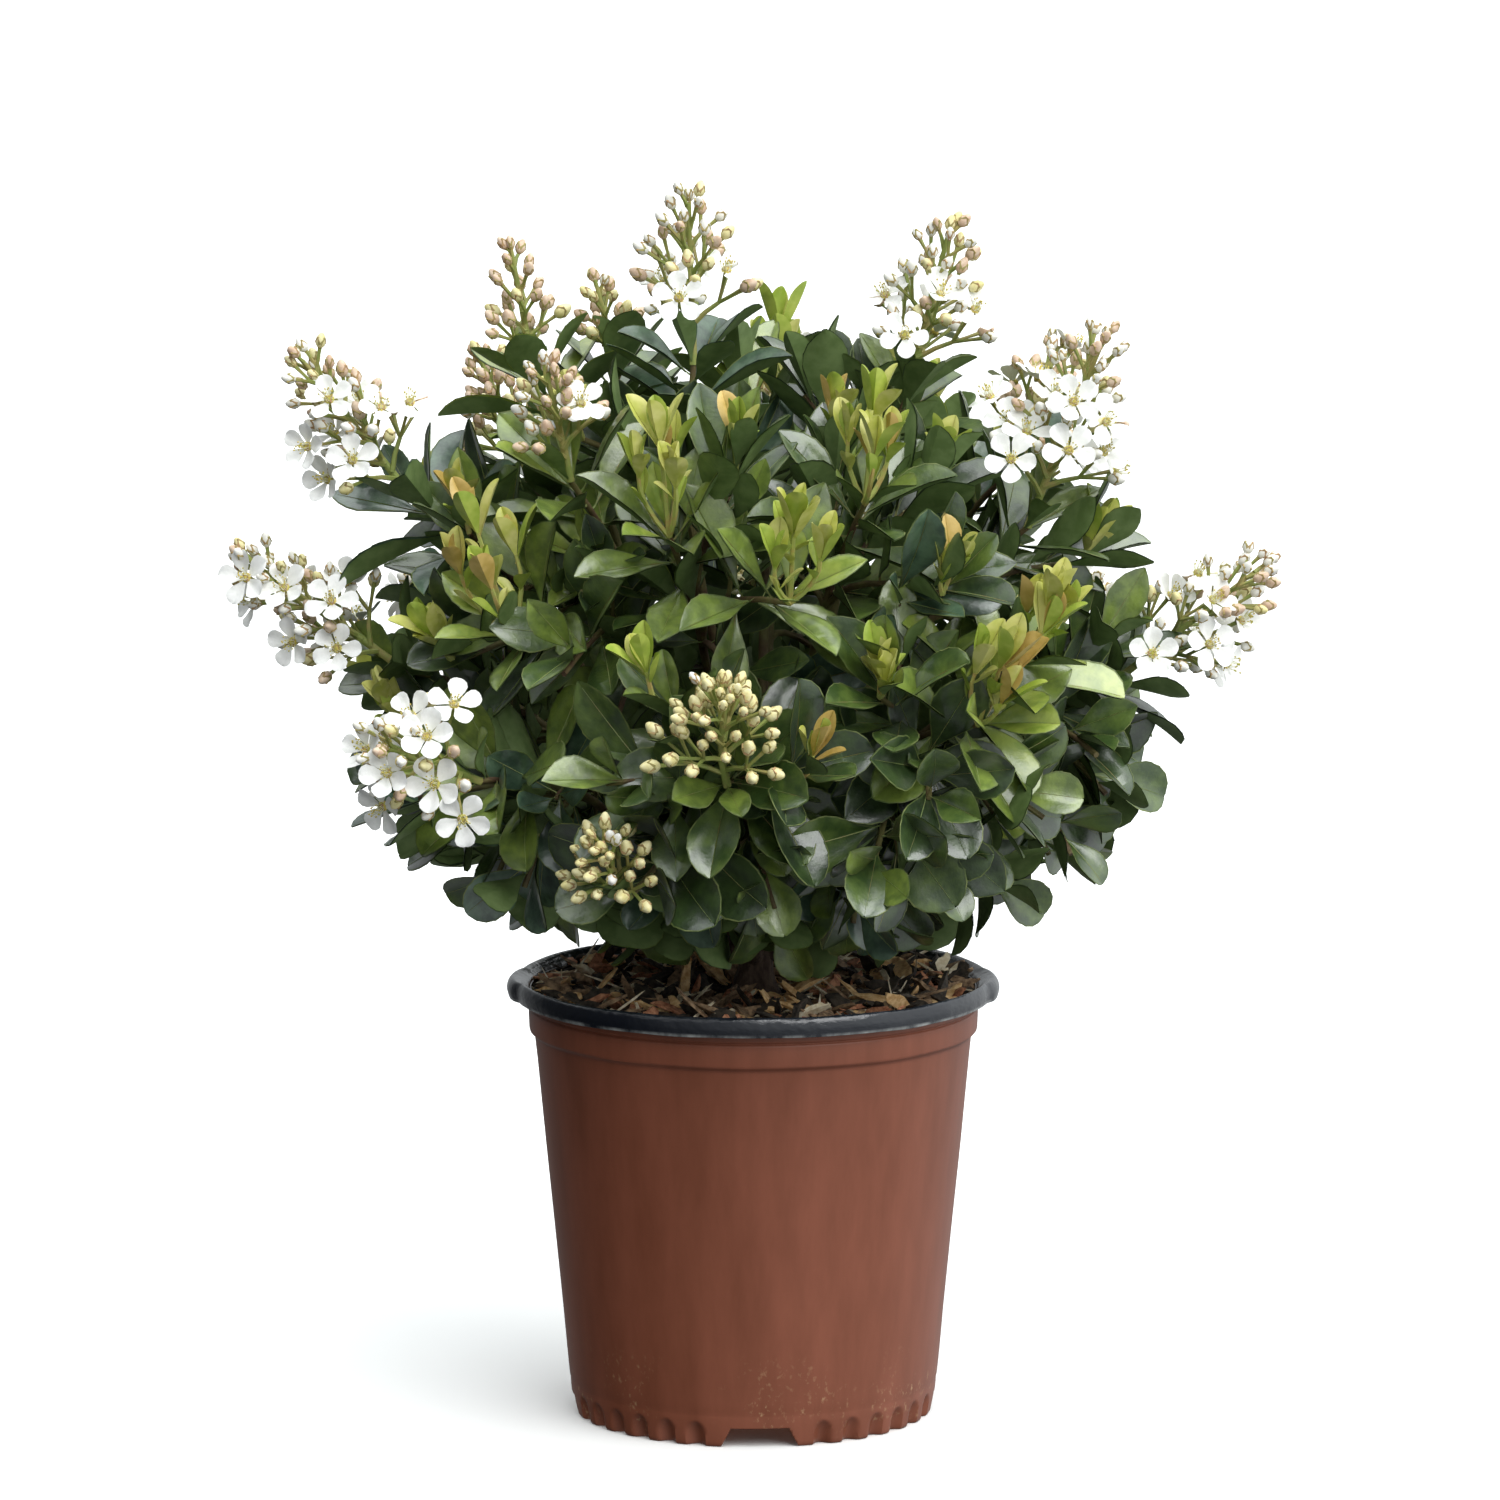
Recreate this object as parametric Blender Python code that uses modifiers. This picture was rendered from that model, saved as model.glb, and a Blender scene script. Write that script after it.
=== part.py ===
"""A potted indian hawthorn shrub in blossom, at its real size.

Metres, +Z up. The origin is under the middle of the pot, on the level that its foot stands on.
The front, where the drain notch faces the viewer, is -Y.
"""

import math
import random

import bmesh
import bpy
from mathutils import Matrix, Vector
from mathutils.bvhtree import BVHTree

# Driving dimensions of the pot, a blow-moulded nursery pot of the two gallon trade size.
POT_HEIGHT = 0.2078
RIM_RADIUS = 0.118
LIP_HEIGHT = 0.0095
COLLAR_RADIUS = 0.1077
COLLAR_FOOT = 0.1838
WALL_TOP_RADIUS = 0.1045
WALL_FOOT_RADIUS = 0.0878
FOOT_RADIUS = 0.0860
FOOT_BAND = 0.013
WALL = 0.0016
FLOOR_UNDERSIDE = 0.0100
POT_STEPS = 32
NOTCHES = 4
NOTCH_TURN = math.radians(2)
NOTCH_WIDTH = 0.031
NOTCH_SPLAY = 0.004
NOTCH_HEIGHT = 0.0092
FLUTES_PER_QUARTER = 6
FLUTE_RADIUS = 0.0022
DRAIN_RADIUS = 0.007
DRAIN_CIRCLE = 0.066

# Driving dimensions of the plant.
CLEAR = 0.0003
SOIL_TOP = 0.1993
SOIL_EDGE_DROP = 0.004
SOIL_FLAT_RADIUS = 0.030
CHIP_COUNT = 7
STEM_TOP = 0.2818
STEM_FOOT_RADIUS = 0.0165
STEM_RADIUS = 0.0086
STEM_TOP_RADIUS = 0.0042
STEM_LEAN = 0.004
FORK = Vector((0.0, 0.0, 0.2408))
CENTRE = Vector((0.0, 0.0, 0.2958))
BOUGH_SHARE = 0.42
BOUGH_RADIUS = 0.0034
BOUGH_TIP_RADIUS = 0.0025
TWIG_RADIUS = 0.0019
TWIG_TIP_RADIUS = 0.0014
SHORTEST_RUN = 0.006
SHARPEST_BEND = math.radians(65)
LEAF_LENGTH = 0.060
LEAF_WIDTH = 0.031
LEAF_FOLD = 0.22
HUB_RADIUS = 0.0045
HUB_DEPTH = 0.0016
HUB_RISE = 0.0008
FLOWER_RADIUS = 0.0125
BUD_RADIUS = 0.0040
OPEN_SPACING = 0.0084
BUD_SPACING = 0.0076
GOLDEN_TURN = math.radians(137.508)

# Spacing of the leafy shoots over the outside of the plant, and how low they reach.
SHOOT_LATTICE = 136
LOWEST_SHOOT = math.radians(-50)
THIN_BELOW = math.radians(-20)
SHOOT_SPACING = math.radians(10)
SIDE_REACH, UP_REACH, DOWN_REACH = 0.172, 0.034, 0.150
INNER_LATTICE = 58
INNER_LOWEST = math.radians(12)
INNER_SHARE = 0.70

# Underside of the foliage: its height by the main stem, and how it rises from a radius outwards.
UNDERSIDE, UNDERSIDE_RADIUS, UNDERSIDE_SLOPE = 0.2098, 0.085, 0.60

# Leaves of a rosette: how many, least and greatest lean from the twig in degrees, size and
# slimness against a full leaf.
FULL_LEAVES = (5, 50, 84, 1.0, 1.0)
YOUNG_LEAVES = (4, 26, 42, 0.66, 0.72)

# Sizes and changes of lean, as shares of its range, that a leaf is tried at in turn.
LEAF_TRIES = ((1, 0), (1, -0.4), (1, 0.4), (0.85, -0.7), (0.85, 0), (0.85, 0.6), (0.7, -0.3), (0.6, 0.2))

# What stands at the end of a named shoot: blossom that is open, blossom in bud, or young leaves.
OPEN, BUD, YOUNG = "open", "bud", "young"

# Each mass of foliage, by tier and side, with its named shoots: the way that each points from the
# plant's centre (degrees round from the front, degrees above level), how far out its last leaves
# sit, what it ends in, that end's length, and how many degrees above level it points itself.
MASSES = {
    "low_left": ((-86, 21, 0.177, OPEN, 0.099, 36),),
    "low_front_left": ((-45, 9, 0.180, OPEN, 0.062, 18),),
    "low_front": ((-4, 11, 0.176, BUD, 0.064, 48), (-21, -8, 0.160, BUD, 0.046, 40)),
    "low_front_right": ((36, 18, 0.184, YOUNG, 0.040, 60), (47, 26, 0.190, YOUNG, 0.036, 60)),
    "low_right": ((85, 18, 0.188, OPEN, 0.088, 37),),
    "low_back_right": ((133, 14, 0.180, OPEN, 0.070, 34),),
    "low_back": ((180, 17, 0.158, BUD, 0.060, 42),),
    "low_back_left": ((-134, 16, 0.182, OPEN, 0.072, 34),),
    "mid_left": ((-84, 42, 0.214, OPEN, 0.094, 52),),
    "mid_front_left": ((-42, 54, 0.198, OPEN, 0.056, 72), (-47, 31, 0.178, YOUNG, 0.062, 68)),
    "mid_front": ((-17, 47, 0.194, YOUNG, 0.052, 74), (6, 36, 0.196, YOUNG, 0.044, 66)),
    "mid_front_right": ((24, 51, 0.200, YOUNG, 0.048, 78),),
    "mid_right": ((71, 45, 0.192, OPEN, 0.098, 68),),
    "mid_back_right": ((122, 46, 0.200, OPEN, 0.078, 60),),
    "mid_back": ((174, 44, 0.196, OPEN, 0.080, 58),),
    "mid_back_left": ((-130, 45, 0.200, BUD, 0.070, 62),),
    "top_left": ((-101, 62, 0.226, BUD, 0.064, 78), (-118, 70, 0.212, BUD, 0.048, 72)),
    "top": ((-58, 81, 0.212, OPEN, 0.080, 86),),
    "top_right": ((76, 69, 0.208, OPEN, 0.084, 74),),
    "top_back": ((172, 68, 0.200, YOUNG, 0.036, 76),),
}

LEADER = "top"

# Heights on the main stem where the boughs of each tier leave it.
TIER_HEIGHTS = {"low": (0.2183, 0.2293), "mid": (0.2403, 0.2508), "top": (0.2638, 0.2638)}

BARK, LEAF_GREEN = (0.105, 0.062, 0.040), (0.045, 0.115, 0.030)
POT_BROWN, MULCH = (0.150, 0.040, 0.022), (0.060, 0.034, 0.020)


def clear_scene():
    for thing in list(bpy.data.objects):
        bpy.data.objects.remove(thing)


def new_collection(name):
    made = bpy.data.collections.new(name)
    bpy.context.scene.collection.children.link(made)
    return made


def material(name, colour, roughness):
    made = bpy.data.materials.get(name)
    if made is None:
        made = bpy.data.materials.new(name)
        made.use_nodes = True
        shader = made.node_tree.nodes["Principled BSDF"]
        shader.inputs["Base Color"].default_value = (*colour, 1.0)
        shader.inputs["Roughness"].default_value = roughness
        shader.inputs["Metallic"].default_value = 0.0
    return made


def to_object(name, bm, collection, finish=None):
    """A named object in a collection from a bmesh, which is used up."""
    mesh = bpy.data.meshes.new(name)
    bm.to_mesh(mesh)
    bm.free()
    made = bpy.data.objects.new(name, mesh)
    collection.objects.link(made)
    if finish:
        mesh.materials.append(finish)
    return made


def pointing(turn, rise):
    """The unit way that points so many degrees round from the front and so many above level."""
    a, e = math.radians(turn), math.radians(rise)
    return Vector((math.sin(a) * math.cos(e), -math.cos(a) * math.cos(e), math.sin(e)))


def square_to(way):
    """Two unit ways square to the given one and to each other."""
    helper = Vector((0, 0, 1)) if abs(way.z) < 0.9 else Vector((1, 0, 0))
    side = way.cross(helper).normalized()
    return side, way.cross(side).normalized()


def loft(rings):
    """A closed solid through rings of equal point count, with flat ends."""
    bm = bmesh.new()
    rows = [[bm.verts.new(p) for p in ring] for ring in rings]
    count = len(rows[0])
    for low, high in zip(rows, rows[1:]):
        for i in range(count):
            j = (i + 1) % count
            bm.faces.new((low[i], low[j], high[j], high[i]))
    bm.faces.new(reversed(rows[0]))
    bm.faces.new(rows[-1])
    bmesh.ops.recalc_face_normals(bm, faces=bm.faces)
    return bm


def bend(start, middle, end, share):
    """A point on the smooth bend from start to end that is drawn towards the middle point."""
    return start * (1 - share) ** 2 + middle * (2 * share * (1 - share)) + end * share**2


def tube(points, radii, sides):
    """A tapering round limb along the points."""
    rings = []
    side = None
    for i, point in enumerate(points):
        way = (points[min(i + 1, len(points) - 1)] - points[max(i - 1, 0)]).normalized()
        if side is None:
            side = square_to(way)[0]
        side = (side - way * side.dot(way)).normalized()
        over = way.cross(side)
        rings.append(
            [
                point + (side * math.cos(a) + over * math.sin(a)) * radii[i]
                for a in (math.tau * k / sides for k in range(sides))
            ]
        )
    return loft(rings)


# Pot


def wall_radius(z):
    """Outer radius of the pot's tapering wall between its foot band and its collar."""
    share = (z - FOOT_BAND) / (COLLAR_FOOT - FOOT_BAND)
    return WALL_FOOT_RADIUS + (WALL_TOP_RADIUS - WALL_FOOT_RADIUS) * share


def inner_radius(z):
    """Inner radius of the pot above its floor."""
    if z <= COLLAR_FOOT + WALL:
        return wall_radius(max(z, FOOT_BAND)) - WALL
    return COLLAR_RADIUS - WALL


def pot_profile():
    """The pot's section, from the middle of its floor, over the lip and down to its underside."""
    top, lip_foot = POT_HEIGHT, POT_HEIGHT - LIP_HEIGHT
    lip_in = COLLAR_RADIUS - WALL
    roll = 0.0035
    floor = FLOOR_UNDERSIDE + WALL
    return [
        (0.0, floor),
        (inner_radius(floor), floor),
        (inner_radius(COLLAR_FOOT), COLLAR_FOOT + WALL),
        (lip_in, COLLAR_FOOT + 2 * WALL),
        (lip_in, top - roll),
        (lip_in + roll, top),
        (RIM_RADIUS - roll, top),
        (RIM_RADIUS, top - roll),
        (RIM_RADIUS - 0.001, lip_foot),
        (COLLAR_RADIUS, lip_foot),
        (COLLAR_RADIUS - 0.0006, COLLAR_FOOT + WALL),
        (WALL_TOP_RADIUS, COLLAR_FOOT),
        (WALL_FOOT_RADIUS, FOOT_BAND),
        (FOOT_RADIUS, 0.0),
        (FOOT_RADIUS - 2 * WALL, 0.0),
        (FOOT_RADIUS - 2 * WALL, FLOOR_UNDERSIDE),
        (0.0, FLOOR_UNDERSIDE),
    ]


def notch_cutter(name, turn, cutters):
    """A splayed gap through the foot, wider at the ground."""
    half, splay = NOTCH_WIDTH / 2, NOTCH_SPLAY
    out = Vector((math.sin(turn), -math.cos(turn), 0))
    across = Vector((math.cos(turn), math.sin(turn), 0))
    section = (
        (-half - splay, -0.001),
        (half + splay, -0.001),
        (half, NOTCH_HEIGHT),
        (-half, NOTCH_HEIGHT),
    )
    rings = []
    for radius in (FOOT_RADIUS + 0.010, FOOT_RADIUS - 0.012):
        rings.append([out * radius + across * x + Vector((0, 0, z)) for x, z in section])
    return to_object(name, loft(rings), cutters)


def flute_cutter(name, turn, cutters):
    """An upright groove in the foot band."""
    bm = bmesh.new()
    bmesh.ops.create_cone(
        bm, cap_ends=True, segments=3, radius1=FLUTE_RADIUS * 1.3, radius2=FLUTE_RADIUS * 0.8,
        depth=FOOT_BAND + 0.004, matrix=Matrix.Rotation(turn + math.pi / 2, 4, "Z"),
    )
    place = Vector((math.sin(turn), -math.cos(turn), 0)) * (FOOT_RADIUS + 0.0006)
    bmesh.ops.translate(bm, verts=bm.verts, vec=place + Vector((0, 0, FOOT_BAND / 2 - 0.001)))
    return to_object(name, bm, cutters)


def drain_cutter(name, turn, circle, cutters):
    bm = bmesh.new()
    bmesh.ops.create_cone(
        bm, cap_ends=True, segments=6, radius1=DRAIN_RADIUS, radius2=DRAIN_RADIUS, depth=0.012
    )
    place = Vector((math.sin(turn), -math.cos(turn), 0)) * circle
    bmesh.ops.translate(bm, verts=bm.verts, vec=place + Vector((0, 0, FLOOR_UNDERSIDE)))
    return to_object(name, bm, cutters)


def make_pot(parts):
    """A thin turned wall with a rolled lip, a raised floor with drain holes, and a notched foot."""
    bm = bmesh.new()
    points = [bm.verts.new((r, 0.0, z)) for r, z in pot_profile()]
    for a, b in zip(points, points[1:]):
        bm.edges.new((a, b))
    pot = to_object("pot", bm, parts, material("pot_plastic", POT_BROWN, 0.45))
    turned = pot.modifiers.new("turned", "SCREW")
    turned.axis = "Z"
    turned.angle = math.tau
    turned.steps = turned.render_steps = POT_STEPS
    turned.use_merge_vertices = True
    turned.merge_threshold = 0.00005
    turned.use_smooth_shade = False

    cutters = new_collection("pot_cutters")
    quarter = math.tau / NOTCHES
    flute_step = quarter / (FLUTES_PER_QUARTER + 3)
    drain_cutter("drain_middle", 0.0, 0.0, cutters)
    for n in range(NOTCHES):
        turn = NOTCH_TURN + n * quarter
        notch_cutter(f"notch_{n + 1}", turn, cutters)
        drain_cutter(f"drain_{n + 1}", turn, DRAIN_CIRCLE, cutters)
        for k in range(FLUTES_PER_QUARTER):
            flute_cutter(f"flute_{n + 1}_{k + 1}", turn + (k + 2) * flute_step, cutters)
    for cutter in cutters.objects:
        cutter.hide_render = True
        cutter.display_type = "WIRE"
    cut = pot.modifiers.new("cut", "BOOLEAN")
    cut.operation = "DIFFERENCE"
    cut.operand_type = "COLLECTION"
    cut.collection = cutters
    cut.solver = "EXACT"
    return pot


# Growing medium


def bark_chip(name, place, rng, collection):
    """One flat splinter of bark, lying on the potting mix at a slight tilt."""
    long, wide, thick = rng.uniform(0.016, 0.030), rng.uniform(0.005, 0.010), rng.uniform(0.0022, 0.0034)
    way = pointing(rng.uniform(0, 360), rng.uniform(-8, 14))
    side, up = square_to(way)
    if up.z < 0:
        side, up = -side, -up
    rings = []
    for along, share in ((-0.5, 0.45), (0.1, 1.0), (0.5, 0.35)):
        middle = place + way * (along * long)
        section = ((-1, -1), (1, -1), (0, 1))
        rings.append([middle + side * (x * wide * share / 2) + up * (z * thick / 2) for x, z in section])
    return to_object(name, loft(rings), collection)


def make_growing_medium(parts):
    """The potting mix that fills the pot, gently domed, with bark chips on it."""
    floor = FLOOR_UNDERSIDE + WALL + CLEAR
    edge = SOIL_TOP - SOIL_EDGE_DROP
    gap = CLEAR * 1.5
    profile = [
        (0.0, SOIL_TOP),
        (SOIL_FLAT_RADIUS, SOIL_TOP),
        (inner_radius(edge) - gap, edge),
        (inner_radius(edge) - gap, COLLAR_FOOT + 2 * WALL),
        (inner_radius(COLLAR_FOOT) - gap, COLLAR_FOOT + WALL),
        (inner_radius(floor) - gap, floor),
        (0.0, floor),
    ]
    bm = bmesh.new()
    points = [bm.verts.new((r, 0.0, z)) for r, z in profile]
    for a, b in zip(points, points[1:]):
        bm.edges.new((a, b))
    bmesh.ops.spin(
        bm, geom=bm.verts[:] + bm.edges[:], cent=(0, 0, 0), axis=(0, 0, 1), angle=math.tau,
        steps=POT_STEPS, use_merge=True,
    )
    bmesh.ops.remove_doubles(bm, verts=bm.verts, dist=0.00002)
    bmesh.ops.recalc_face_normals(bm, faces=bm.faces)
    medium = to_object("growing_medium", bm, parts, material("mulch", MULCH, 0.95))
    chips = new_collection("chips")
    rng = random.Random("bark chips")
    for k in range(CHIP_COUNT):
        turn, out = k * GOLDEN_TURN, 0.036 + 0.050 * math.sqrt((k + 0.5) / CHIP_COUNT)
        drop = SOIL_EDGE_DROP * max(0.0, out - SOIL_FLAT_RADIUS) / (WALL_TOP_RADIUS - SOIL_FLAT_RADIUS)
        place = Vector((math.sin(turn) * out, -math.cos(turn) * out, SOIL_TOP - 0.6 * drop))
        bark_chip(f"chip_{k}", place, rng, chips)
    fuse(medium, chips)
    return medium


# Joining


def fuse(body, collection):
    """Joins everything in the collection to the body by one union, and removes what was joined."""
    joined = body.modifiers.new("joined", "BOOLEAN")
    joined.operation = "UNION"
    joined.operand_type = "COLLECTION"
    joined.collection = collection
    for solver in ("MANIFOLD", "EXACT"):
        joined.solver = solver
        bpy.context.view_layer.update()
        ready = body.evaluated_get(bpy.context.evaluated_depsgraph_get())
        mesh = bpy.data.meshes.new_from_object(ready)
        if keep_largest_shell(mesh):
            break
    body.modifiers.clear()
    old, body.data = body.data, mesh
    bpy.data.meshes.remove(old)
    mesh.name = body.name
    for thing in list(collection.objects):
        bpy.data.objects.remove(thing)
    bpy.data.collections.remove(collection)


def keep_largest_shell(mesh):
    """Drops loose scraps and the walls of sealed hollows. Tells whether one closed shell is left."""
    bm = bmesh.new()
    bm.from_mesh(mesh)
    bmesh.ops.triangulate(bm, faces=bm.faces)
    unseen, shells = set(bm.faces), []
    while unseen:
        front = [unseen.pop()]
        shell = set(front)
        while front:
            face = front.pop()
            for edge in face.edges:
                for other in edge.link_faces:
                    if other in unseen:
                        unseen.discard(other)
                        shell.add(other)
                        front.append(other)
        shells.append(shell)
    largest = max(shells, key=shell_volume)
    waste = [face for shell in shells if shell is not largest for face in shell]
    bmesh.ops.delete(bm, geom=waste, context="FACES")
    closed = all(len(edge.link_faces) == 2 for edge in bm.edges)
    bm.to_mesh(mesh)
    bm.free()
    return closed


def shell_volume(shell):
    total = 0.0
    for face in shell:
        a, b, c = (v.co for v in face.verts)
        total += a.dot(b.cross(c)) / 6
    return total


# Main stem and boughs


def stem_axis(z):
    """Middle of the leaning main stem at a height."""
    share = (z - SOIL_TOP) / (STEM_TOP - SOIL_TOP)
    return Vector((STEM_LEAN * share * (1 - share) * 2, -STEM_LEAN * 0.5 * share, z))


def stem_radius(z):
    """Radius of the main stem, flaring over its last centimetre to the roots."""
    share = (z - SOIL_TOP) / (STEM_TOP - SOIL_TOP)
    straight = STEM_RADIUS + (STEM_TOP_RADIUS - STEM_RADIUS) * share
    return straight + (STEM_FOOT_RADIUS - STEM_RADIUS) * math.exp(-(z - SOIL_TOP) / 0.006)


def stem_rings(grown, sides=12):
    heights = [0.0, 0.004, 0.009, 0.016, 0.030, 0.046, STEM_TOP - SOIL_TOP]
    rings = []
    for k, above in enumerate(heights):
        z = SOIL_TOP + CLEAR + above * (1 - CLEAR / (STEM_TOP - SOIL_TOP))
        z += grown * (1 if k == len(heights) - 1 else -1 if k == 0 else 0)
        lobes = 0.22 * math.exp(-above / 0.006)
        ring = []
        for i in range(sides):
            a = math.tau * i / sides
            radius = stem_radius(z) * (1 + lobes * math.cos(3 * a + 0.7)) + grown
            ring.append(stem_axis(z) + Vector((math.cos(a), math.sin(a), 0)) * radius)
        rings.append(ring)
    return rings


def make_main_stem(parts):
    """The short woody foot, from its flat cut at the potting mix to the top of its fork."""
    return to_object("main_stem", loft(stem_rings(0.0)), parts, material("bark", BARK, 0.85))


def shoot_tip(shoot):
    return CENTRE + pointing(shoot[0], shoot[1]) * shoot[2]


def bough_line(name, count=5):
    """The points of a mass's bough, from inside the main stem out and up to the mass."""
    tier = name.split("_")[0]
    end = FORK + (shoot_tip(MASSES[name][0]) - FORK) * BOUGH_SHARE
    if name == LEADER:
        start = stem_axis(STEM_TOP) + Vector((0, 0, CLEAR))
        middle = start + Vector((0, 0, (end - start).length * 0.5))
    else:
        names = [n for n in MASSES if n.split("_")[0] == tier]
        start = stem_axis(TIER_HEIGHTS[tier][names.index(name) % 2])
        out = end - start
        middle = start + Vector((out.x, out.y, 0)) * 0.75 + Vector((0, 0, out.z * 0.34))
    return [bend(start, middle, end, k / (count - 1)) for k in range(count)]


def make_bough(name, parts, stem_cutter):
    """One tapering limb, cut to sit against the main stem."""
    points = bough_line(name)
    count = len(points)
    radii = [BOUGH_RADIUS + (BOUGH_TIP_RADIUS - BOUGH_RADIUS) * k / (count - 1) for k in range(count)]
    bough = to_object(f"bough_{name}", tube(points, radii, 5), parts, material("bark", BARK, 0.85))
    cut = bough.modifiers.new("seat", "BOOLEAN")
    cut.operation = "DIFFERENCE"
    cut.object = stem_cutter
    cut.solver = "EXACT"
    return bough


# Foliage


def mass_way(name):
    """The way from the fork to the middle of a mass's named shoots."""
    tips = [shoot_tip(shoot) for shoot in MASSES[name]]
    return (sum(tips, Vector()) / len(tips) - FORK).normalized()


def reach_at(rise):
    """How far from the centre the last leaves of an unnamed shoot sit, by the height it points at."""
    up = math.sin(rise)
    return SIDE_REACH + (UP_REACH if up > 0 else DOWN_REACH) * up


def lattice_shoots():
    """Unnamed leafy shoots by mass: spread evenly over the plant, and some deeper inside it."""
    named = [pointing(s[0], s[1]) for shoots in MASSES.values() for s in shoots]
    ways = {name: mass_way(name) for name in MASSES}
    found = {name: [] for name in MASSES}
    rng = random.Random("leafy shoots")
    lattices = ((SHOOT_LATTICE, LOWEST_SHOOT, 1.0), (INNER_LATTICE, INNER_LOWEST, INNER_SHARE))
    for count, lowest, share in lattices:
        for k in range(count):
            rise = math.asin(1 - (2 * k + 1) / count) + rng.uniform(-0.05, 0.05)
            turn = k * GOLDEN_TURN + rng.uniform(-0.08, 0.08) + share
            reach = reach_at(rise) * rng.uniform(0.94, 1.04) * share
            way = pointing(math.degrees(turn), math.degrees(rise))
            if rise < lowest or rise < THIN_BELOW and k % 2:
                continue
            if share == 1.0 and any(way.angle(other) < SHOOT_SPACING for other in named):
                continue
            tip = CENTRE + way * reach
            nearest = max(ways, key=lambda n: ways[n].dot((tip - FORK).normalized()))
            found[nearest].append(tip)
    return found


class Space:
    """The cone of space, from the fork outwards, that one mass keeps to, clear of limbs and pot."""

    MARGIN = 0.0005

    def __init__(self, name):
        own = mass_way(name)
        self.walls = [(mass_way(other) - own).normalized() for other in MASSES if other != name]
        self.limbs = []
        for other in MASSES:
            line = bough_line(other)
            if other == name:
                line = line[:-1]
            self.limbs += [(a, b, BOUGH_RADIUS) for a, b in zip(line, line[1:])]
        foot, top = stem_axis(SOIL_TOP), stem_axis(STEM_TOP)
        self.limbs.append((foot, top, STEM_RADIUS))
        self.taken = []

    def holds(self, points):
        for p in points:
            out = p - FORK
            if any(wall.dot(out) > -self.MARGIN for wall in self.walls):
                return False
            away = max(0.0, math.hypot(p.x, p.y) - UNDERSIDE_RADIUS)
            if p.z < UNDERSIDE + away * UNDERSIDE_SLOPE:
                return False
        return True

    def blade(self, points):
        """A fan of points as a blade, or nothing where it would cross what is already there."""
        faces = [(0, i, i + 1) for i in range(1, len(points) - 1)]
        fan = BVHTree.FromPolygons(points, faces)
        return None if any(fan.overlap(other) for other in self.taken) else fan

    def take(self, fan):
        self.taken.append(fan)

    def clears_limbs(self, points):
        for p in points:
            for a, b, radius in self.limbs:
                along = b - a
                share = max(0.0, min(1.0, (p - a).dot(along) / along.length_squared))
                if (p - a - along * share).length < radius + 0.0012:
                    return False
        return True


def frame_along(way, side):
    """The side way turned to lie square to the given way, and the third way of the two."""
    side = (side - way * side.dot(way)).normalized()
    return side, way.cross(side)


def small_ring(middle, way, side, radius, count=3):
    """A ring round a twig: angle and place of each corner."""
    side, over = frame_along(way, side)
    turns = [math.tau * k / count for k in range(count)]
    return [(a, middle + (side * math.cos(a) + over * math.sin(a)) * radius) for a in turns]


def leaf_corners(root, way, level, lean, size, slim):
    """Four corners of one blunt leaf, which leans out from its twig's way and folds up a little."""
    along = way * math.cos(lean) + level * math.sin(lean)
    face = way * math.sin(lean) - level * math.cos(lean)
    across = way.cross(level)
    half = LEAF_WIDTH / 2 * size * slim
    return [
        root + along * (LEAF_LENGTH * size * out) + (across * wide + face * (LEAF_FOLD * abs(wide))) * half
        for out, wide in ((0.55, -1), (0.93, -0.5), (0.93, 0.5), (0.55, 1))
    ]


def rosette(tip, way, side, leaves, space, rng):
    """Ring of corners round a whorl of leaves at a twig's end.

    A leaf that would leave the mass's own space or near a limb is tried smaller and at another
    lean, and then skipped.
    """
    count, least, most, size, slim = leaves
    side, over = frame_along(way, side)
    ring, fans = [], []
    for k in range(count):
        turn = math.tau * (k + 0.5) / count
        notch = turn - math.pi / count
        ring.append((notch, tip + (side * math.cos(notch) + over * math.sin(notch)) * HUB_RADIUS))
        level = side * math.cos(turn) + over * math.sin(turn)
        share = (2 * k % count + rng.uniform(0.2, 0.8)) / count
        grown = size * rng.uniform(0.9, 1.1)
        root = tip + level * HUB_RADIUS * 0.6
        for shrink, tilt in LEAF_TRIES:
            lean = math.radians(least + (most - least) * max(0.0, share + tilt))
            corners = leaf_corners(root, way, level, lean, grown * shrink, slim)
            if space.holds(corners) and space.clears_limbs(corners):
                outside = [tip + (corners[1] - tip) * 0.1 - way * HUB_DEPTH, *corners]
                inside = [tip + (corners[1] - tip) * 0.1 + way * HUB_RISE, *corners]
                blades = [space.blade(outside), space.blade(inside)]
                if all(blades):
                    fans += blades
                    spread = (-0.68, -0.20, 0.20, 0.68)
                    ring += [(turn + w * math.pi / count, p) for w, p in zip(spread, corners)]
                    break
    space.taken += fans
    return ring


def halfway(row, i):
    """Angle halfway from one corner of a ring to the next."""
    after = row[i + 1][0] if i + 1 < len(row) else math.tau + row[0][0]
    return (row[i][0] + after) / 2


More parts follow.
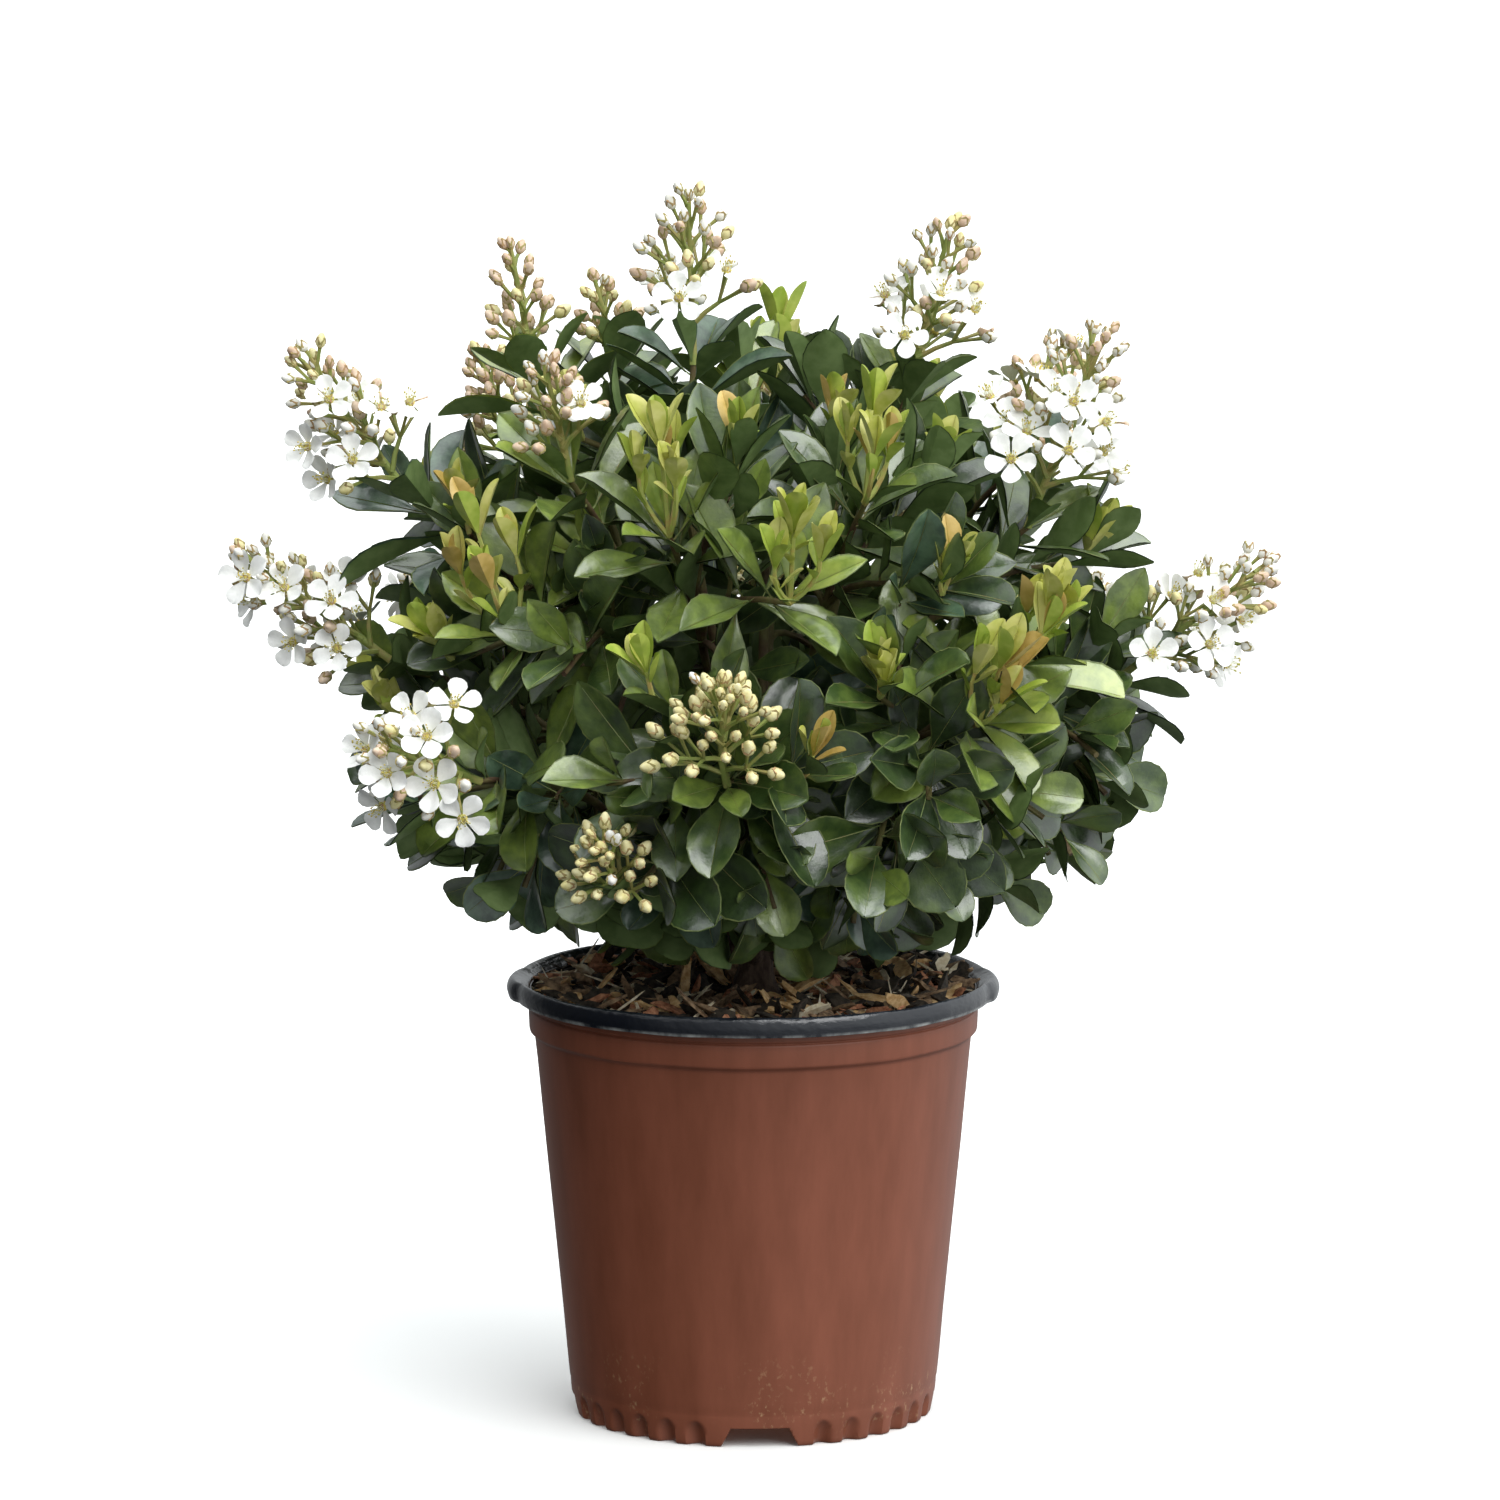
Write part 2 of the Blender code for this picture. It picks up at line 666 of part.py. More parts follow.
def skin(rings, last=None):
    """A closed solid that joins rings of unlike corner counts, ending flat or in a last point."""
    bm = bmesh.new()
    rows = [[(angle, bm.verts.new(p)) for angle, p in ring] for ring in rings]
    for low, high in zip(rows, rows[1:]):
        i = j = 0
        while i < len(low) or j < len(high):
            a, b = low[i % len(low)][1], high[j % len(high)][1]
            if j >= len(high) or i < len(low) and halfway(low, i) <= halfway(high, j):
                i += 1
                bm.faces.new((a, low[i % len(low)][1], b))
            else:
                j += 1
                bm.faces.new((a, high[j % len(high)][1], b))
    bm.faces.new([v for _, v in reversed(rows[0])])
    if last is None:
        bm.faces.new([v for _, v in rows[-1]])
    else:
        end = bm.verts.new(last)
        corners = [v for _, v in rows[-1]]
        for a, b in zip(corners, corners[1:] + corners[:1]):
            bm.faces.new((a, b, end))
    bmesh.ops.recalc_face_normals(bm, faces=bm.faces)
    return bm


def stalked_bud(root, way, length, radius):
    """A bud on its stalk, in one piece that thins to the root."""
    side = square_to(way)[0]
    rings = [
        small_ring(root + way * (length * share), way, side, thick)
        for share, thick in ((0.0, 0.0005), (0.60, 0.0009), (0.84, radius))
    ]
    return skin(rings, root + way * length)


def stalked_flower(root, middle, way, radius, turn):
    """An open flower: five petals in a shallow cup, as one five-cornered blade, on a thin stalk."""
    side, over = square_to(way)
    petals = []
    for k in range(5):
        a = math.tau * k / 5
        level = side * math.cos(a + turn) + over * math.sin(a + turn)
        petals.append((a, middle + level * radius + way * (0.16 * radius)))
    around = side * math.cos(turn) + over * math.sin(turn)
    neck = small_ring(middle - way * 0.0024, way, around, 0.0011)
    foot = small_ring(root, way, around, 0.0006)
    return skin([foot, neck, petals], middle - way * 0.0003)


def add_blossom(label, tip, way, kind, length, space, rng, collection):
    """Stalked flowers and buds round the upright end of a shoot: flowers low down, buds above."""
    side, over = square_to(way)
    count = round(length / (OPEN_SPACING if kind == OPEN else BUD_SPACING))
    spread = min(0.040, 0.50 * length)
    for k in range(count):
        share = (k + 0.6) / count
        root = tip + way * ((length - 0.012) * (0.10 + 0.86 * share))
        flower = kind == OPEN and share < 0.66 and k % 4 != 3
        room = FLOWER_RADIUS + 0.001 if flower else BUD_RADIUS + 0.001
        lean = math.radians(66 - 26 * share)
        for attempt in range(5):
            turn = k * GOLDEN_TURN + attempt * 0.5
            reach = spread * (1 - 0.72 * share) * rng.uniform(0.85, 1.1)
            level = side * math.cos(turn) + over * math.sin(turn)
            out = (way * math.cos(lean) + level * math.sin(lean)).normalized()
            head = root + out * reach
            if not space.holds([head + v * room for v in (side, -side, over, -over, way)]):
                continue
            corners = (head - level * room, head + way * room, head + level * room)
            bulb = space.blade([root + out * 0.004, *corners])
            if not bulb:
                continue
            space.take(bulb)
            if flower:
                facing = (out + way * 0.25).normalized()
                size = FLOWER_RADIUS * rng.uniform(0.9, 1.08)
                solid = stalked_flower(root, head, facing, size, rng.uniform(0, math.tau))
            else:
                solid = stalked_bud(root, out, reach + 0.004, BUD_RADIUS * rng.uniform(0.8, 1.1))
            to_object(f"{label}_head_{k}", solid, collection)
            break


def add_shoot(label, line, facing, shoot, space, rng, collection):
    """One twig along the line, with its rosette and what stands above it, as one solid.

    The first two points of the line carry the twig. The rosette sits at the last one.
    """
    tip = line[-1]
    if shoot and shoot[3] != YOUNG:
        add_blossom(label, tip, pointing(shoot[0], shoot[5]), shoot[3], shoot[4], space, rng, collection)
    side = square_to(facing)[0]
    ways = [(b - a).normalized() for a, b in zip(line, line[1:])]
    rings = [small_ring(line[0], ways[0], side, 0.0009)]
    rings += [small_ring(p, w, side, TWIG_RADIUS) for p, w in zip(line[1:-1], ways[1:])]
    rings.append(small_ring(tip - facing * HUB_DEPTH, facing, side, TWIG_TIP_RADIUS, FULL_LEAVES[0]))
    rings.append(rosette(tip, facing, side, FULL_LEAVES, space, rng))
    if shoot is None:
        to_object(f"{label}_shoot", skin(rings, tip + facing * HUB_RISE), collection)
        return
    axis, kind, length = pointing(shoot[0], shoot[5]), shoot[3], shoot[4]
    rings.append(small_ring(tip + facing * HUB_RISE, facing, side, 0.0018, FULL_LEAVES[0]))
    if kind == YOUNG:
        fresh = tip + axis * (length * 0.75)
        rings.append(small_ring(fresh - axis * HUB_DEPTH, axis, side, 0.0013, YOUNG_LEAVES[0]))
        rings.append(rosette(fresh, axis, side, YOUNG_LEAVES, space, rng))
        end = fresh + axis * HUB_RISE
    else:
        rings.append(small_ring(tip + axis * (length * 0.6), axis, side, 0.0013))
        end = tip + axis * length
    to_object(f"{label}_shoot", skin(rings, end), collection)


def make_mass(name, leafy_tips, parts):
    """One mass of foliage: a stem on its bough's line, twigs to its shoots, leaves and blossom."""
    rng = random.Random(name)
    space = Space(name)
    bough = bough_line(name)
    bough_way = (bough[-1] - bough[-2]).normalized()
    start = bough[-1] + bough_way * CLEAR
    main_tip = shoot_tip(MASSES[name][0])
    middle = start + bough_way * ((main_tip - start).length * 0.5)
    stem_line = [bend(start, middle, main_tip, k / 4) for k in range(5)]
    radii = [BOUGH_TIP_RADIUS + (TWIG_TIP_RADIUS - BOUGH_TIP_RADIUS) * k / 4 for k in range(5)]
    finish = material("leaf", LEAF_GREEN, 0.4)
    mass = to_object(f"foliage_{name}", tube(stem_line, radii, 5), parts, finish)

    pieces = new_collection(f"pieces_{name}")
    ends = [(shoot_tip(s), s) for s in MASSES[name]] + [(tip, None) for tip in leafy_tips]
    lines = []
    for n, (aim, shoot) in enumerate(ends):
        for pull in (0.0, 0.15, 0.3, 0.45):
            tip = aim.lerp(CENTRE + (main_tip - CENTRE).normalized() * (aim - CENTRE).length, pull)
            spreading = (tip - CENTRE).angle(main_tip - CENTRE)
            leave = max(0.06, min(0.62, 0.72 - 0.85 * spreading))
            root = bend(start, middle, main_tip, leave)
            along = (bend(start, middle, main_tip, leave + 0.05) - root).normalized()
            bow = root + along * ((tip - root).length * 0.42)
            line = [root, bend(root, bow, tip, 0.5), tip] if n else [stem_line[-2], tip]
            runs = [b - a for a, b in zip(line, line[1:])]
            fair = all(r.length > SHORTEST_RUN and r.angle(runs[0]) < SHARPEST_BEND for r in runs)
            if n == 0 or fair and space.holds(line[1:]) and space.clears_limbs(line[1:]):
                lines.append((line, shoot))
                break
    for line in [stem_line, *(line for line, _ in lines[1:])]:
        for a, b in zip(line, line[1:]):
            side = square_to((b - a).normalized())[0] * TWIG_RADIUS
            end = b.lerp(a, 0.15)
            corners = [a - side, a + side, end + side, end - side]
            space.take(BVHTree.FromPolygons(corners, [(0, 1, 2, 3)]))
    for n, (line, shoot) in enumerate(lines):
        way = (line[-1] - line[-2]).normalized()
        outward = (line[-1] - CENTRE).normalized()
        facing = (way * 0.5 + outward * 0.8 + Vector((0, 0, 0.25))).normalized()
        add_shoot(f"{name}_{n}", line, facing, shoot, space, rng, pieces)
    fuse(mass, pieces)
    return mass


def main():
    clear_scene()
    parts = new_collection("indian_hawthorn_shrub")
    make_pot(parts)
    make_growing_medium(parts)
    make_main_stem(parts)

    cutters = new_collection("stem_cutters")
    stem_cutter = to_object("stem_cutter", loft(stem_rings(CLEAR)), cutters)
    stem_cutter.hide_render = True
    stem_cutter.display_type = "WIRE"
    leafy = lattice_shoots()
    for name in MASSES:
        make_bough(name, parts, stem_cutter)
        make_mass(name, leafy[name], parts)


main()
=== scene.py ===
import math
import random

import bmesh
import bpy
import numpy as np
from mathutils import Matrix, Vector, noise


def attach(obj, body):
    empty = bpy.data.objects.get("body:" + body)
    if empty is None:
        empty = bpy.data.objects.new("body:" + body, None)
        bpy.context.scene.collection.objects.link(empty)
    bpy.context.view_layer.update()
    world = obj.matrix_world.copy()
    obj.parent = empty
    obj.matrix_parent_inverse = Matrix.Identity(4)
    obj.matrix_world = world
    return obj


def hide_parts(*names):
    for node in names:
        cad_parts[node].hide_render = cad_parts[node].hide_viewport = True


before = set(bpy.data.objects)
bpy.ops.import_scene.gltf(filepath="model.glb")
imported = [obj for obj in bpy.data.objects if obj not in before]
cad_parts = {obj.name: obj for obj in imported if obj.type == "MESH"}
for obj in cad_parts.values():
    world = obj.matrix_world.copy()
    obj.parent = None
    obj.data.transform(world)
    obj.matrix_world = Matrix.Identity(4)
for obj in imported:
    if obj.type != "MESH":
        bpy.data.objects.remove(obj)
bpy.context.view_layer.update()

# Pot wall. A two gallon nursery pot, blow-moulded from polyethylene in two layers. This is the
# outer layer, terracotta brown, with a low collar, a fluted foot and four drain notches.

POT_SIDES, POT_HEIGHT = 432, 0.2108
COLLAR_RADIUS, COLLAR_FOOT, COLLAR_EDGE = 0.1077, 0.1838, 0.1062
WALL_TOP_RADIUS, WALL_FOOT_RADIUS = 0.1045, 0.0878
FOOT_RADIUS, FOOT_BAND, FOOT_CURVE = 0.0860, 0.013, 0.0155
FLOOR_UNDERSIDE, LAYER = 0.0100, 0.00075
NOTCHES, NOTCH_TURN = 4, math.radians(2)
NOTCH_WIDTH, NOTCH_SPLAY, NOTCH_HEIGHT = 0.0275, 0.0055, 0.0092
NOTCH_DEPTH, NOTCH_ROUNDING = 0.020, 0.0015
FLUTES, FLUTE_FIRST, FLUTE_STEP = 6, math.radians(20.2), math.radians(9.92)
FLUTE_HALF, FLUTE_DEPTH, FLUTE_TOP, FLUTE_ARCH = math.radians(3.1), 0.0034, 0.0118, 0.0060
FLUTE_INSIDE, FLUTE_LOW, FLUTE_FADE = 0.08, 1.25, 0.65
DRAIN_RADIUS, DRAIN_CIRCLE, DRAIN_DEPTH = 0.007, 0.066, 0.012
UNEVEN, UNEVEN_SCALE = 0.0005, 22
SCUFFS_TOP, SCUFFS_FULL = 0.046, 0.016  # heights where the scuffs begin and are strongest


def shade(code):
    """An sRGB hex colour as the linear one that a shader takes."""
    parts = [int(code[i : i + 2], 16) / 255 for i in (0, 2, 4)]
    return (*[c / 12.92 if c <= 0.04045 else ((c + 0.055) / 1.055) ** 2.4 for c in parts], 1.0)


def node(tree, kind, values, **settings):
    """Adds a node with its settings, and sets or links each socket named in values."""
    made = tree.nodes.new(kind)
    for key, value in settings.items():
        setattr(made, key, value)
    for socket, value in values.items():
        if isinstance(value, bpy.types.NodeSocket):
            tree.links.new(value, made.inputs[socket])
        else:
            made.inputs[socket].default_value = value
    return made


def surface(name, **settings):
    """A new material, its shader, and the place on the piece in metres that its patterns read."""
    made = bpy.data.materials.new(name)
    made.use_nodes = True
    shader = made.node_tree.nodes["Principled BSDF"]
    for socket, value in settings.items():
        shader.inputs[socket.replace("_", " ")].default_value = value
    return made, shader, node(made.node_tree, "ShaderNodeTexCoord", {}).outputs["Object"]


def speckle(place, scale, low, high, detail=3.0, stretch=(1, 1, 1)):
    """Noise of a scale in features a metre, spread from 0 to 1 between two of its levels."""
    tree = place.id_data
    drawn = node(tree, "ShaderNodeMapping", {"Vector": place, "Scale": stretch}).outputs["Vector"]
    grain = {"Vector": drawn, "Scale": scale, "Detail": detail, "Roughness": 0.6}
    level = node(tree, "ShaderNodeTexNoise", grain).outputs["Fac"]
    spread = {"Value": level, "From Min": low, "From Max": high}
    return node(tree, "ShaderNodeMapRange", spread).outputs["Result"]


def spotted(place, under, code, *spots):
    """A colour with a second one, a hex, over it in spots. The rest says how they are speckled."""
    layers = {0: speckle(place, *spots), 6: under, 7: shade(code)}
    return node(place.id_data, "ShaderNodeMix", layers, data_type="RGBA").outputs[2]


def dress(shader, colour, grain=None, strength=0.0, depth=0.0):
    """Gives a shader its colour and, where there is a grain, bumps of a depth in metres."""
    tree = shader.id_data
    tree.links.new(colour, shader.inputs["Base Color"])
    if grain:
        bumps = {"Height": grain, "Strength": strength, "Distance": depth}
        bumped = node(tree, "ShaderNodeBump", bumps).outputs["Normal"]
        tree.links.new(bumped, shader.inputs["Normal"])


def eased(corners, steps=4):
    """A section's points, with each corner (radius, height, rounding) turned into a small arc."""
    points = []
    for i, (r, z, rounding) in enumerate(corners):
        here = Vector((r, z))
        if not rounding:
            points.append(here)
            continue
        ends = []
        for other in (corners[i - 1], corners[i + 1]):
            way = Vector(other[:2]) - here
            ends.append(here + way * min(0.48, rounding / way.length))
        for k in range(steps + 1):
            t = k / steps
            points.append(ends[0] * (1 - t) ** 2 + here * (2 * t * (1 - t)) + ends[1] * t * t)
    return points


def turned(points, sides):
    """A mesh turned round the pot's axis from its section, with doubles merged at axis and seam."""
    bm = bmesh.new()
    line = [bm.verts.new((p[0], 0.0, p[1])) for p in points]
    for a, b in zip(line, line[1:]):
        bm.edges.new((a, b))
    bmesh.ops.spin(
        bm, geom=bm.verts[:] + bm.edges[:], cent=(0, 0, 0), axis=(0, 0, 1), angle=math.tau,
        steps=sides, use_merge=True,
    )
    bmesh.ops.remove_doubles(bm, verts=bm.verts, dist=0.00001)
    loose = [e for e in bm.edges if not e.link_faces]
    bmesh.ops.delete(bm, geom=loose, context="EDGES")
    bmesh.ops.recalc_face_normals(bm, faces=bm.faces)
    return bm


def stand(name, mesh, finish, sharp=None):
    """An object at the origin from a bmesh or a mesh, smooth but for edges sharper than an angle."""
    if isinstance(mesh, bmesh.types.BMesh):
        bm, mesh = mesh, bpy.data.meshes.new(name)
        bm.to_mesh(mesh)
        bm.free()
    mesh.materials.append(finish)
    mesh.shade_smooth()
    if sharp:
        mesh.set_sharp_from_angle(angle=math.radians(sharp))
    made = bpy.data.objects.new(name, mesh)
    bpy.context.scene.collection.objects.link(made)
    return made


def wall_radius(z):
    """Outer radius of the tapering wall."""
    share = (z - FOOT_BAND) / (COLLAR_FOOT - FOOT_BAND)
    return WALL_FOOT_RADIUS + (WALL_TOP_RADIUS - WALL_FOOT_RADIUS) * share


def foot_radius(z):
    """Outer radius of the foot, which draws in along a curve below the wall."""
    return WALL_FOOT_RADIUS - (WALL_FOOT_RADIUS - FOOT_RADIUS) * (1 - z / FOOT_CURVE) ** 1.6


def flute(x, y, z):
    """How far the foot is pressed in at a place by its upright flutes, arched at their tops."""
    if z > FLUTE_TOP or math.hypot(x, y) < FLUTE_INSIDE:
        return 0.0
    turn = (math.atan2(x, -y) - NOTCH_TURN) % (math.tau / NOTCHES)
    near = min(max(round((turn - FLUTE_FIRST) / FLUTE_STEP), 0), FLUTES - 1)
    off = abs(turn - FLUTE_FIRST - near * FLUTE_STEP)
    arch = math.sqrt(1 - max(0.0, (z - FLUTE_TOP + FLUTE_ARCH) / FLUTE_ARCH) ** 2) + 1e-6
    across = math.cos(min(off / FLUTE_HALF / arch, 1.0) * math.pi / 2)
    return FLUTE_DEPTH * across * arch * (FLUTE_LOW - FLUTE_FADE * z / FLUTE_TOP)


def wobble(place):
    """The slight unevenness of a blown wall, in metres."""
    return noise.noise(Vector(place) * UNEVEN_SCALE) * UNEVEN


outer = [
    (COLLAR_EDGE, POT_HEIGHT - 0.0052, 0), (COLLAR_RADIUS, POT_HEIGHT - 0.0070, 0.0006),
    (COLLAR_RADIUS, POT_HEIGHT - 0.0128, 0.0005), (0.1066, POT_HEIGHT - 0.0137, 0.0004),
    (0.1075, POT_HEIGHT - 0.0147, 0.0006), (0.1071, COLLAR_FOOT + 0.0019, 0.0010),
    (WALL_TOP_RADIUS, COLLAR_FOOT, 0.0011),
]
outer += [(wall_radius(z), z, 0) for z in (0.172, 0.13, 0.09, 0.05, 0.030, 0.022, 0.0175)]
foot_heights = (15.5, 14.6, 14.1, 13.6, 13.0, 12.3, 11.5, 10.6, 9.6, 8.5, 7.0, 5.5, 4.0, 2.5, 1.2)
outer += [(foot_radius(z / 1000), z / 1000, 0) for z in foot_heights]
inner = [
    (FOOT_RADIUS - 0.0005, 0.0, 0.0006), (FOOT_RADIUS - 0.0032, 0.0, 0.0006),
    (FOOT_RADIUS - 0.0038, FLOOR_UNDERSIDE, 0.0010), (0.050, FLOOR_UNDERSIDE, 0),
    (0.0, FLOOR_UNDERSIDE, 0), (0.0, FLOOR_UNDERSIDE + LAYER, 0),
    (FOOT_RADIUS - 0.0034, FLOOR_UNDERSIDE + LAYER, 0.0008), (wall_radius(0.030) - LAYER, 0.030, 0),
    (WALL_TOP_RADIUS - LAYER, COLLAR_FOOT + 0.0004, 0.0006),
    (COLLAR_RADIUS - LAYER - 0.0008, COLLAR_FOOT + 0.0025, 0.0006),
    (COLLAR_RADIUS - LAYER - 0.0008, POT_HEIGHT - 0.0070, 0), (COLLAR_EDGE, POT_HEIGHT - 0.0052, 0),
]
bm = turned(eased(outer + inner), POT_SIDES)
for v in bm.verts:
    out = math.hypot(v.co.x, v.co.y)
    if out > 0.01:
        pressed = flute(*v.co) - (wobble(v.co) if v.co.z < COLLAR_FOOT + 0.002 else 0.0)
        v.co.xy *= (out - pressed) / out

blown_brown, shader, place = surface(
    "blown_polyethylene_terracotta", Roughness=0.44, IOR=1.54, Specular_IOR_Level=0.36
)
# Blow-moulded polyethylene: satin, a little waxy, its pigment clouded in upright streaks as the
# wall was blown, with pale scuffs above the foot, where pots rub each other.
tree = place.id_data
clouds = spotted(place, shade("75402b"), "874d38", 60, 0.30, 0.72, 5.0, (1, 1, 0.22))
height_of = node(tree, "ShaderNodeSeparateXYZ", {"Vector": place}).outputs["Z"]
band = {"Value": height_of, "From Min": SCUFFS_TOP, "From Max": SCUFFS_FULL}
low_down = node(tree, "ShaderNodeMapRange", band).outputs["Result"]
scuffed = speckle(place, 420, 0.56, 0.70, 6.0, (1, 1, 0.7))
for share in (low_down, speckle(place, 26, 0.50, 0.60), 0.75):
    scuffed = node(tree, "ShaderNodeMath", {0: scuffed, 1: share}, operation="MULTIPLY").outputs[0]
layers = {0: scuffed, 6: clouds, 7: shade("c2a078")}
colour = node(tree, "ShaderNodeMix", layers, data_type="RGBA").outputs[2]
dress(shader, colour, speckle(place, 90, 0.2, 0.8, 4.0, (0.4, 0.4, 1)), 0.10, 0.0006)

pot_wall = stand("pot_wall", bm, blown_brown, 32)
cutters = []
for n in range(NOTCHES):
    turn = NOTCH_TURN + n * math.tau / NOTCHES
    out = Vector((math.sin(turn), -math.cos(turn), 0))
    across = Vector((math.cos(turn), math.sin(turn), 0))
    cut = bmesh.new()
    bmesh.ops.create_cube(cut, size=1.0)
    for v in cut.verts:
        half = NOTCH_WIDTH / 2 + (NOTCH_SPLAY if v.co.z < 0 else 0.0)
        v.co = (
            across * math.copysign(half, v.co.x) + out * (FOOT_RADIUS - 0.001 + v.co.y * NOTCH_DEPTH)
            + Vector((0, 0, -0.002 if v.co.z < 0 else NOTCH_HEIGHT))
        )
    tops = [e for e in cut.edges if all(v.co.z > 0 for v in e.verts)]
    inward = [e for e in tops if abs((e.verts[0].co - e.verts[1].co).dot(out)) > 0.01]
    bmesh.ops.bevel(
        cut, geom=inward, offset=NOTCH_ROUNDING, segments=3, profile=0.5, affect="EDGES", material=-1
    )
    bmesh.ops.recalc_face_normals(cut, faces=cut.faces)
    cutters.append(stand(f"notch_{n}", cut, blown_brown))
for n in range(NOTCHES + 1):
    turn = NOTCH_TURN + n * math.tau / NOTCHES
    circle = DRAIN_CIRCLE if n < NOTCHES else 0.0
    middle = (math.sin(turn) * circle, -math.cos(turn) * circle, FLOOR_UNDERSIDE)
    cut = bmesh.new()
    bmesh.ops.create_cone(
        cut, cap_ends=True, segments=24, radius1=DRAIN_RADIUS, radius2=DRAIN_RADIUS, depth=DRAIN_DEPTH
    )
    bmesh.ops.translate(cut, verts=cut.verts, vec=middle)
    cutters.append(stand(f"drain_{n}", cut, blown_brown))


def cut_out(piece, tools):
    """Cuts closed tools out of a piece, and keeps the result as its mesh."""
    for tool in tools:
        step = piece.modifiers.new("cut", "BOOLEAN")
        step.operation, step.object, step.solver = "DIFFERENCE", tool, "MANIFOLD"
    bpy.context.view_layer.update()
    ready = piece.evaluated_get(bpy.context.evaluated_depsgraph_get())
    mesh = bpy.data.meshes.new_from_object(ready)
    piece.modifiers.clear()
    piece.data = mesh


cut_out(pot_wall, cutters)
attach(pot_wall, "root")
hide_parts("pot")

# Pot lining and lip. The inner layer of the same blown wall, blue-black, which comes up over the
# brown one and is rolled outwards into the lip, with a low finger grip swelling out at each side.

LINING_SIDES, LIP_FOOT, RIM_RADIUS = 288, POT_HEIGHT - 0.0095, 0.118
LIP_NECK, LIP_SHARE, GRIP_HALF = 0.1085, 0.60, 0.021
LIP_SCALE, LIP_SAG, LIP_LOWER, CLEAR = 30, 0.0007, 0.0002, 0.00005
EDGE_OUTSIDE = 0.1118  # radius outside which the lip's lower edge is rubbed
lining_foot = FLOOR_UNDERSIDE + LAYER + CLEAR
lining = [
    (0.0, lining_foot, 0), (FOOT_RADIUS - 0.0036, lining_foot, 0.0008),
    (wall_radius(0.030) - LAYER - CLEAR, 0.030, 0),
    (WALL_TOP_RADIUS - LAYER - CLEAR, COLLAR_FOOT + 0.0006, 0.0006),
    (COLLAR_RADIUS - LAYER - 0.00095, COLLAR_FOOT + 0.0028, 0.0006),
    (COLLAR_RADIUS - LAYER - 0.00095, POT_HEIGHT - 0.0051, 0.0004),
    (0.1092, POT_HEIGHT - 0.0049, 0.0006), (0.1110, POT_HEIGHT - 0.0028, 0.0010),
    (0.1146, POT_HEIGHT - 0.0022, 0.0010), (0.1162, POT_HEIGHT - 0.0042, 0.0010),
    (0.1158, LIP_FOOT, 0.0004), (0.1169, LIP_FOOT - 0.0001, 0.0005),
    (0.1176, LIP_FOOT + 0.0022, 0.0006), (RIM_RADIUS + 0.0001, POT_HEIGHT - 0.0052, 0.0018),
    (0.1174, POT_HEIGHT - 0.0021, 0.0020), (0.1154, POT_HEIGHT + 0.0001, 0.0020),
    (0.1128, POT_HEIGHT - 0.0004, 0.0014), (0.1101, POT_HEIGHT - 0.0015, 0.0014),
    (0.1073, POT_HEIGHT - 0.0038, 0.0012), (0.1054, POT_HEIGHT - 0.0068, 0.0012),
    (0.1052, COLLAR_FOOT + 0.0045, 0.0014), (WALL_TOP_RADIUS - 0.0016, COLLAR_FOOT + 0.001, 0.0012),
    (wall_radius(0.030) - 0.0016, 0.030, 0), (FOOT_RADIUS - 0.0044, FLOOR_UNDERSIDE + 0.0016, 0.0010),
    (0.0, FLOOR_UNDERSIDE + 0.0016, 0),
]
bm = turned(eased(lining), LINING_SIDES)
for v in bm.verts:
    out = math.hypot(v.co.x, v.co.y)
    if v.co.z > LIP_FOOT - 0.002 and out > LIP_NECK:
        uneven = noise.noise(Vector((v.co.x, v.co.y, 0.2)) * LIP_SCALE)
        grip = math.sqrt(max(0.0, 1 - (v.co.y / GRIP_HALF) ** 2))
        reach = LIP_NECK + (out - LIP_NECK) * (LIP_SHARE + (1 - LIP_SHARE) * grip)
        v.co.xy *= (reach + uneven * UNEVEN) / out
        v.co.z += min(0.0, uneven * LIP_SAG - LIP_LOWER)
    elif out > 0.01 and v.co.z < COLLAR_FOOT + 0.002:
        v.co.xy *= (out + wobble(v.co)) / out

blown_black, shader, place = surface(
    "blown_polyethylene_blue_black", Roughness=0.15, IOR=1.56, Specular_IOR_Level=0.70
)
# The same plastic with a blue-black pigment: it shines along the roll, is greyed with fine dust on
# top, and is rubbed pale on the lower edge of the lip, where fingers and trays catch it.
tree = place.id_data
level_place = node(tree, "ShaderNodeMapping", {"Vector": place, "Scale": (1, 1, 0)}).outputs["Vector"]
radius_of = node(tree, "ShaderNodeVectorMath", {0: level_place}, operation="LENGTH").outputs["Value"]
outside = node(tree, "ShaderNodeMath", {0: radius_of, 1: EDGE_OUTSIDE}, operation="GREATER_THAN").outputs[0]
height_of = node(tree, "ShaderNodeSeparateXYZ", {"Vector": place}).outputs["Z"]
band = {"Value": height_of, "From Min": LIP_FOOT + 0.0016, "From Max": LIP_FOOT + 0.0004, "To Max": 0.8}
edge = node(tree, "ShaderNodeMapRange", band).outputs["Result"]
for share in (outside, speckle(place, 90, 0.36, 0.66, 6.0, (1, 1, 0.5))):
    edge = node(tree, "ShaderNodeMath", {0: edge, 1: share}, operation="MULTIPLY").outputs[0]
band = {"Value": height_of, "From Min": POT_HEIGHT - 0.0020, "From Max": POT_HEIGHT + 0.0002, "To Max": 0.35}
dusty = node(tree, "ShaderNodeMapRange", band).outputs["Result"]
grey = {0: dusty, 1: speckle(place, 70, 0.3, 0.65, 5.0)}
dusty = node(tree, "ShaderNodeMath", grey, operation="MULTIPLY").outputs[0]
colour = shade("0b111d")
for share, code in ((dusty, "5c636c"), (edge, "a9aba8")):
    layers = {0: share, 6: colour, 7: shade(code)}
    colour = node(tree, "ShaderNodeMix", layers, data_type="RGBA").outputs[2]
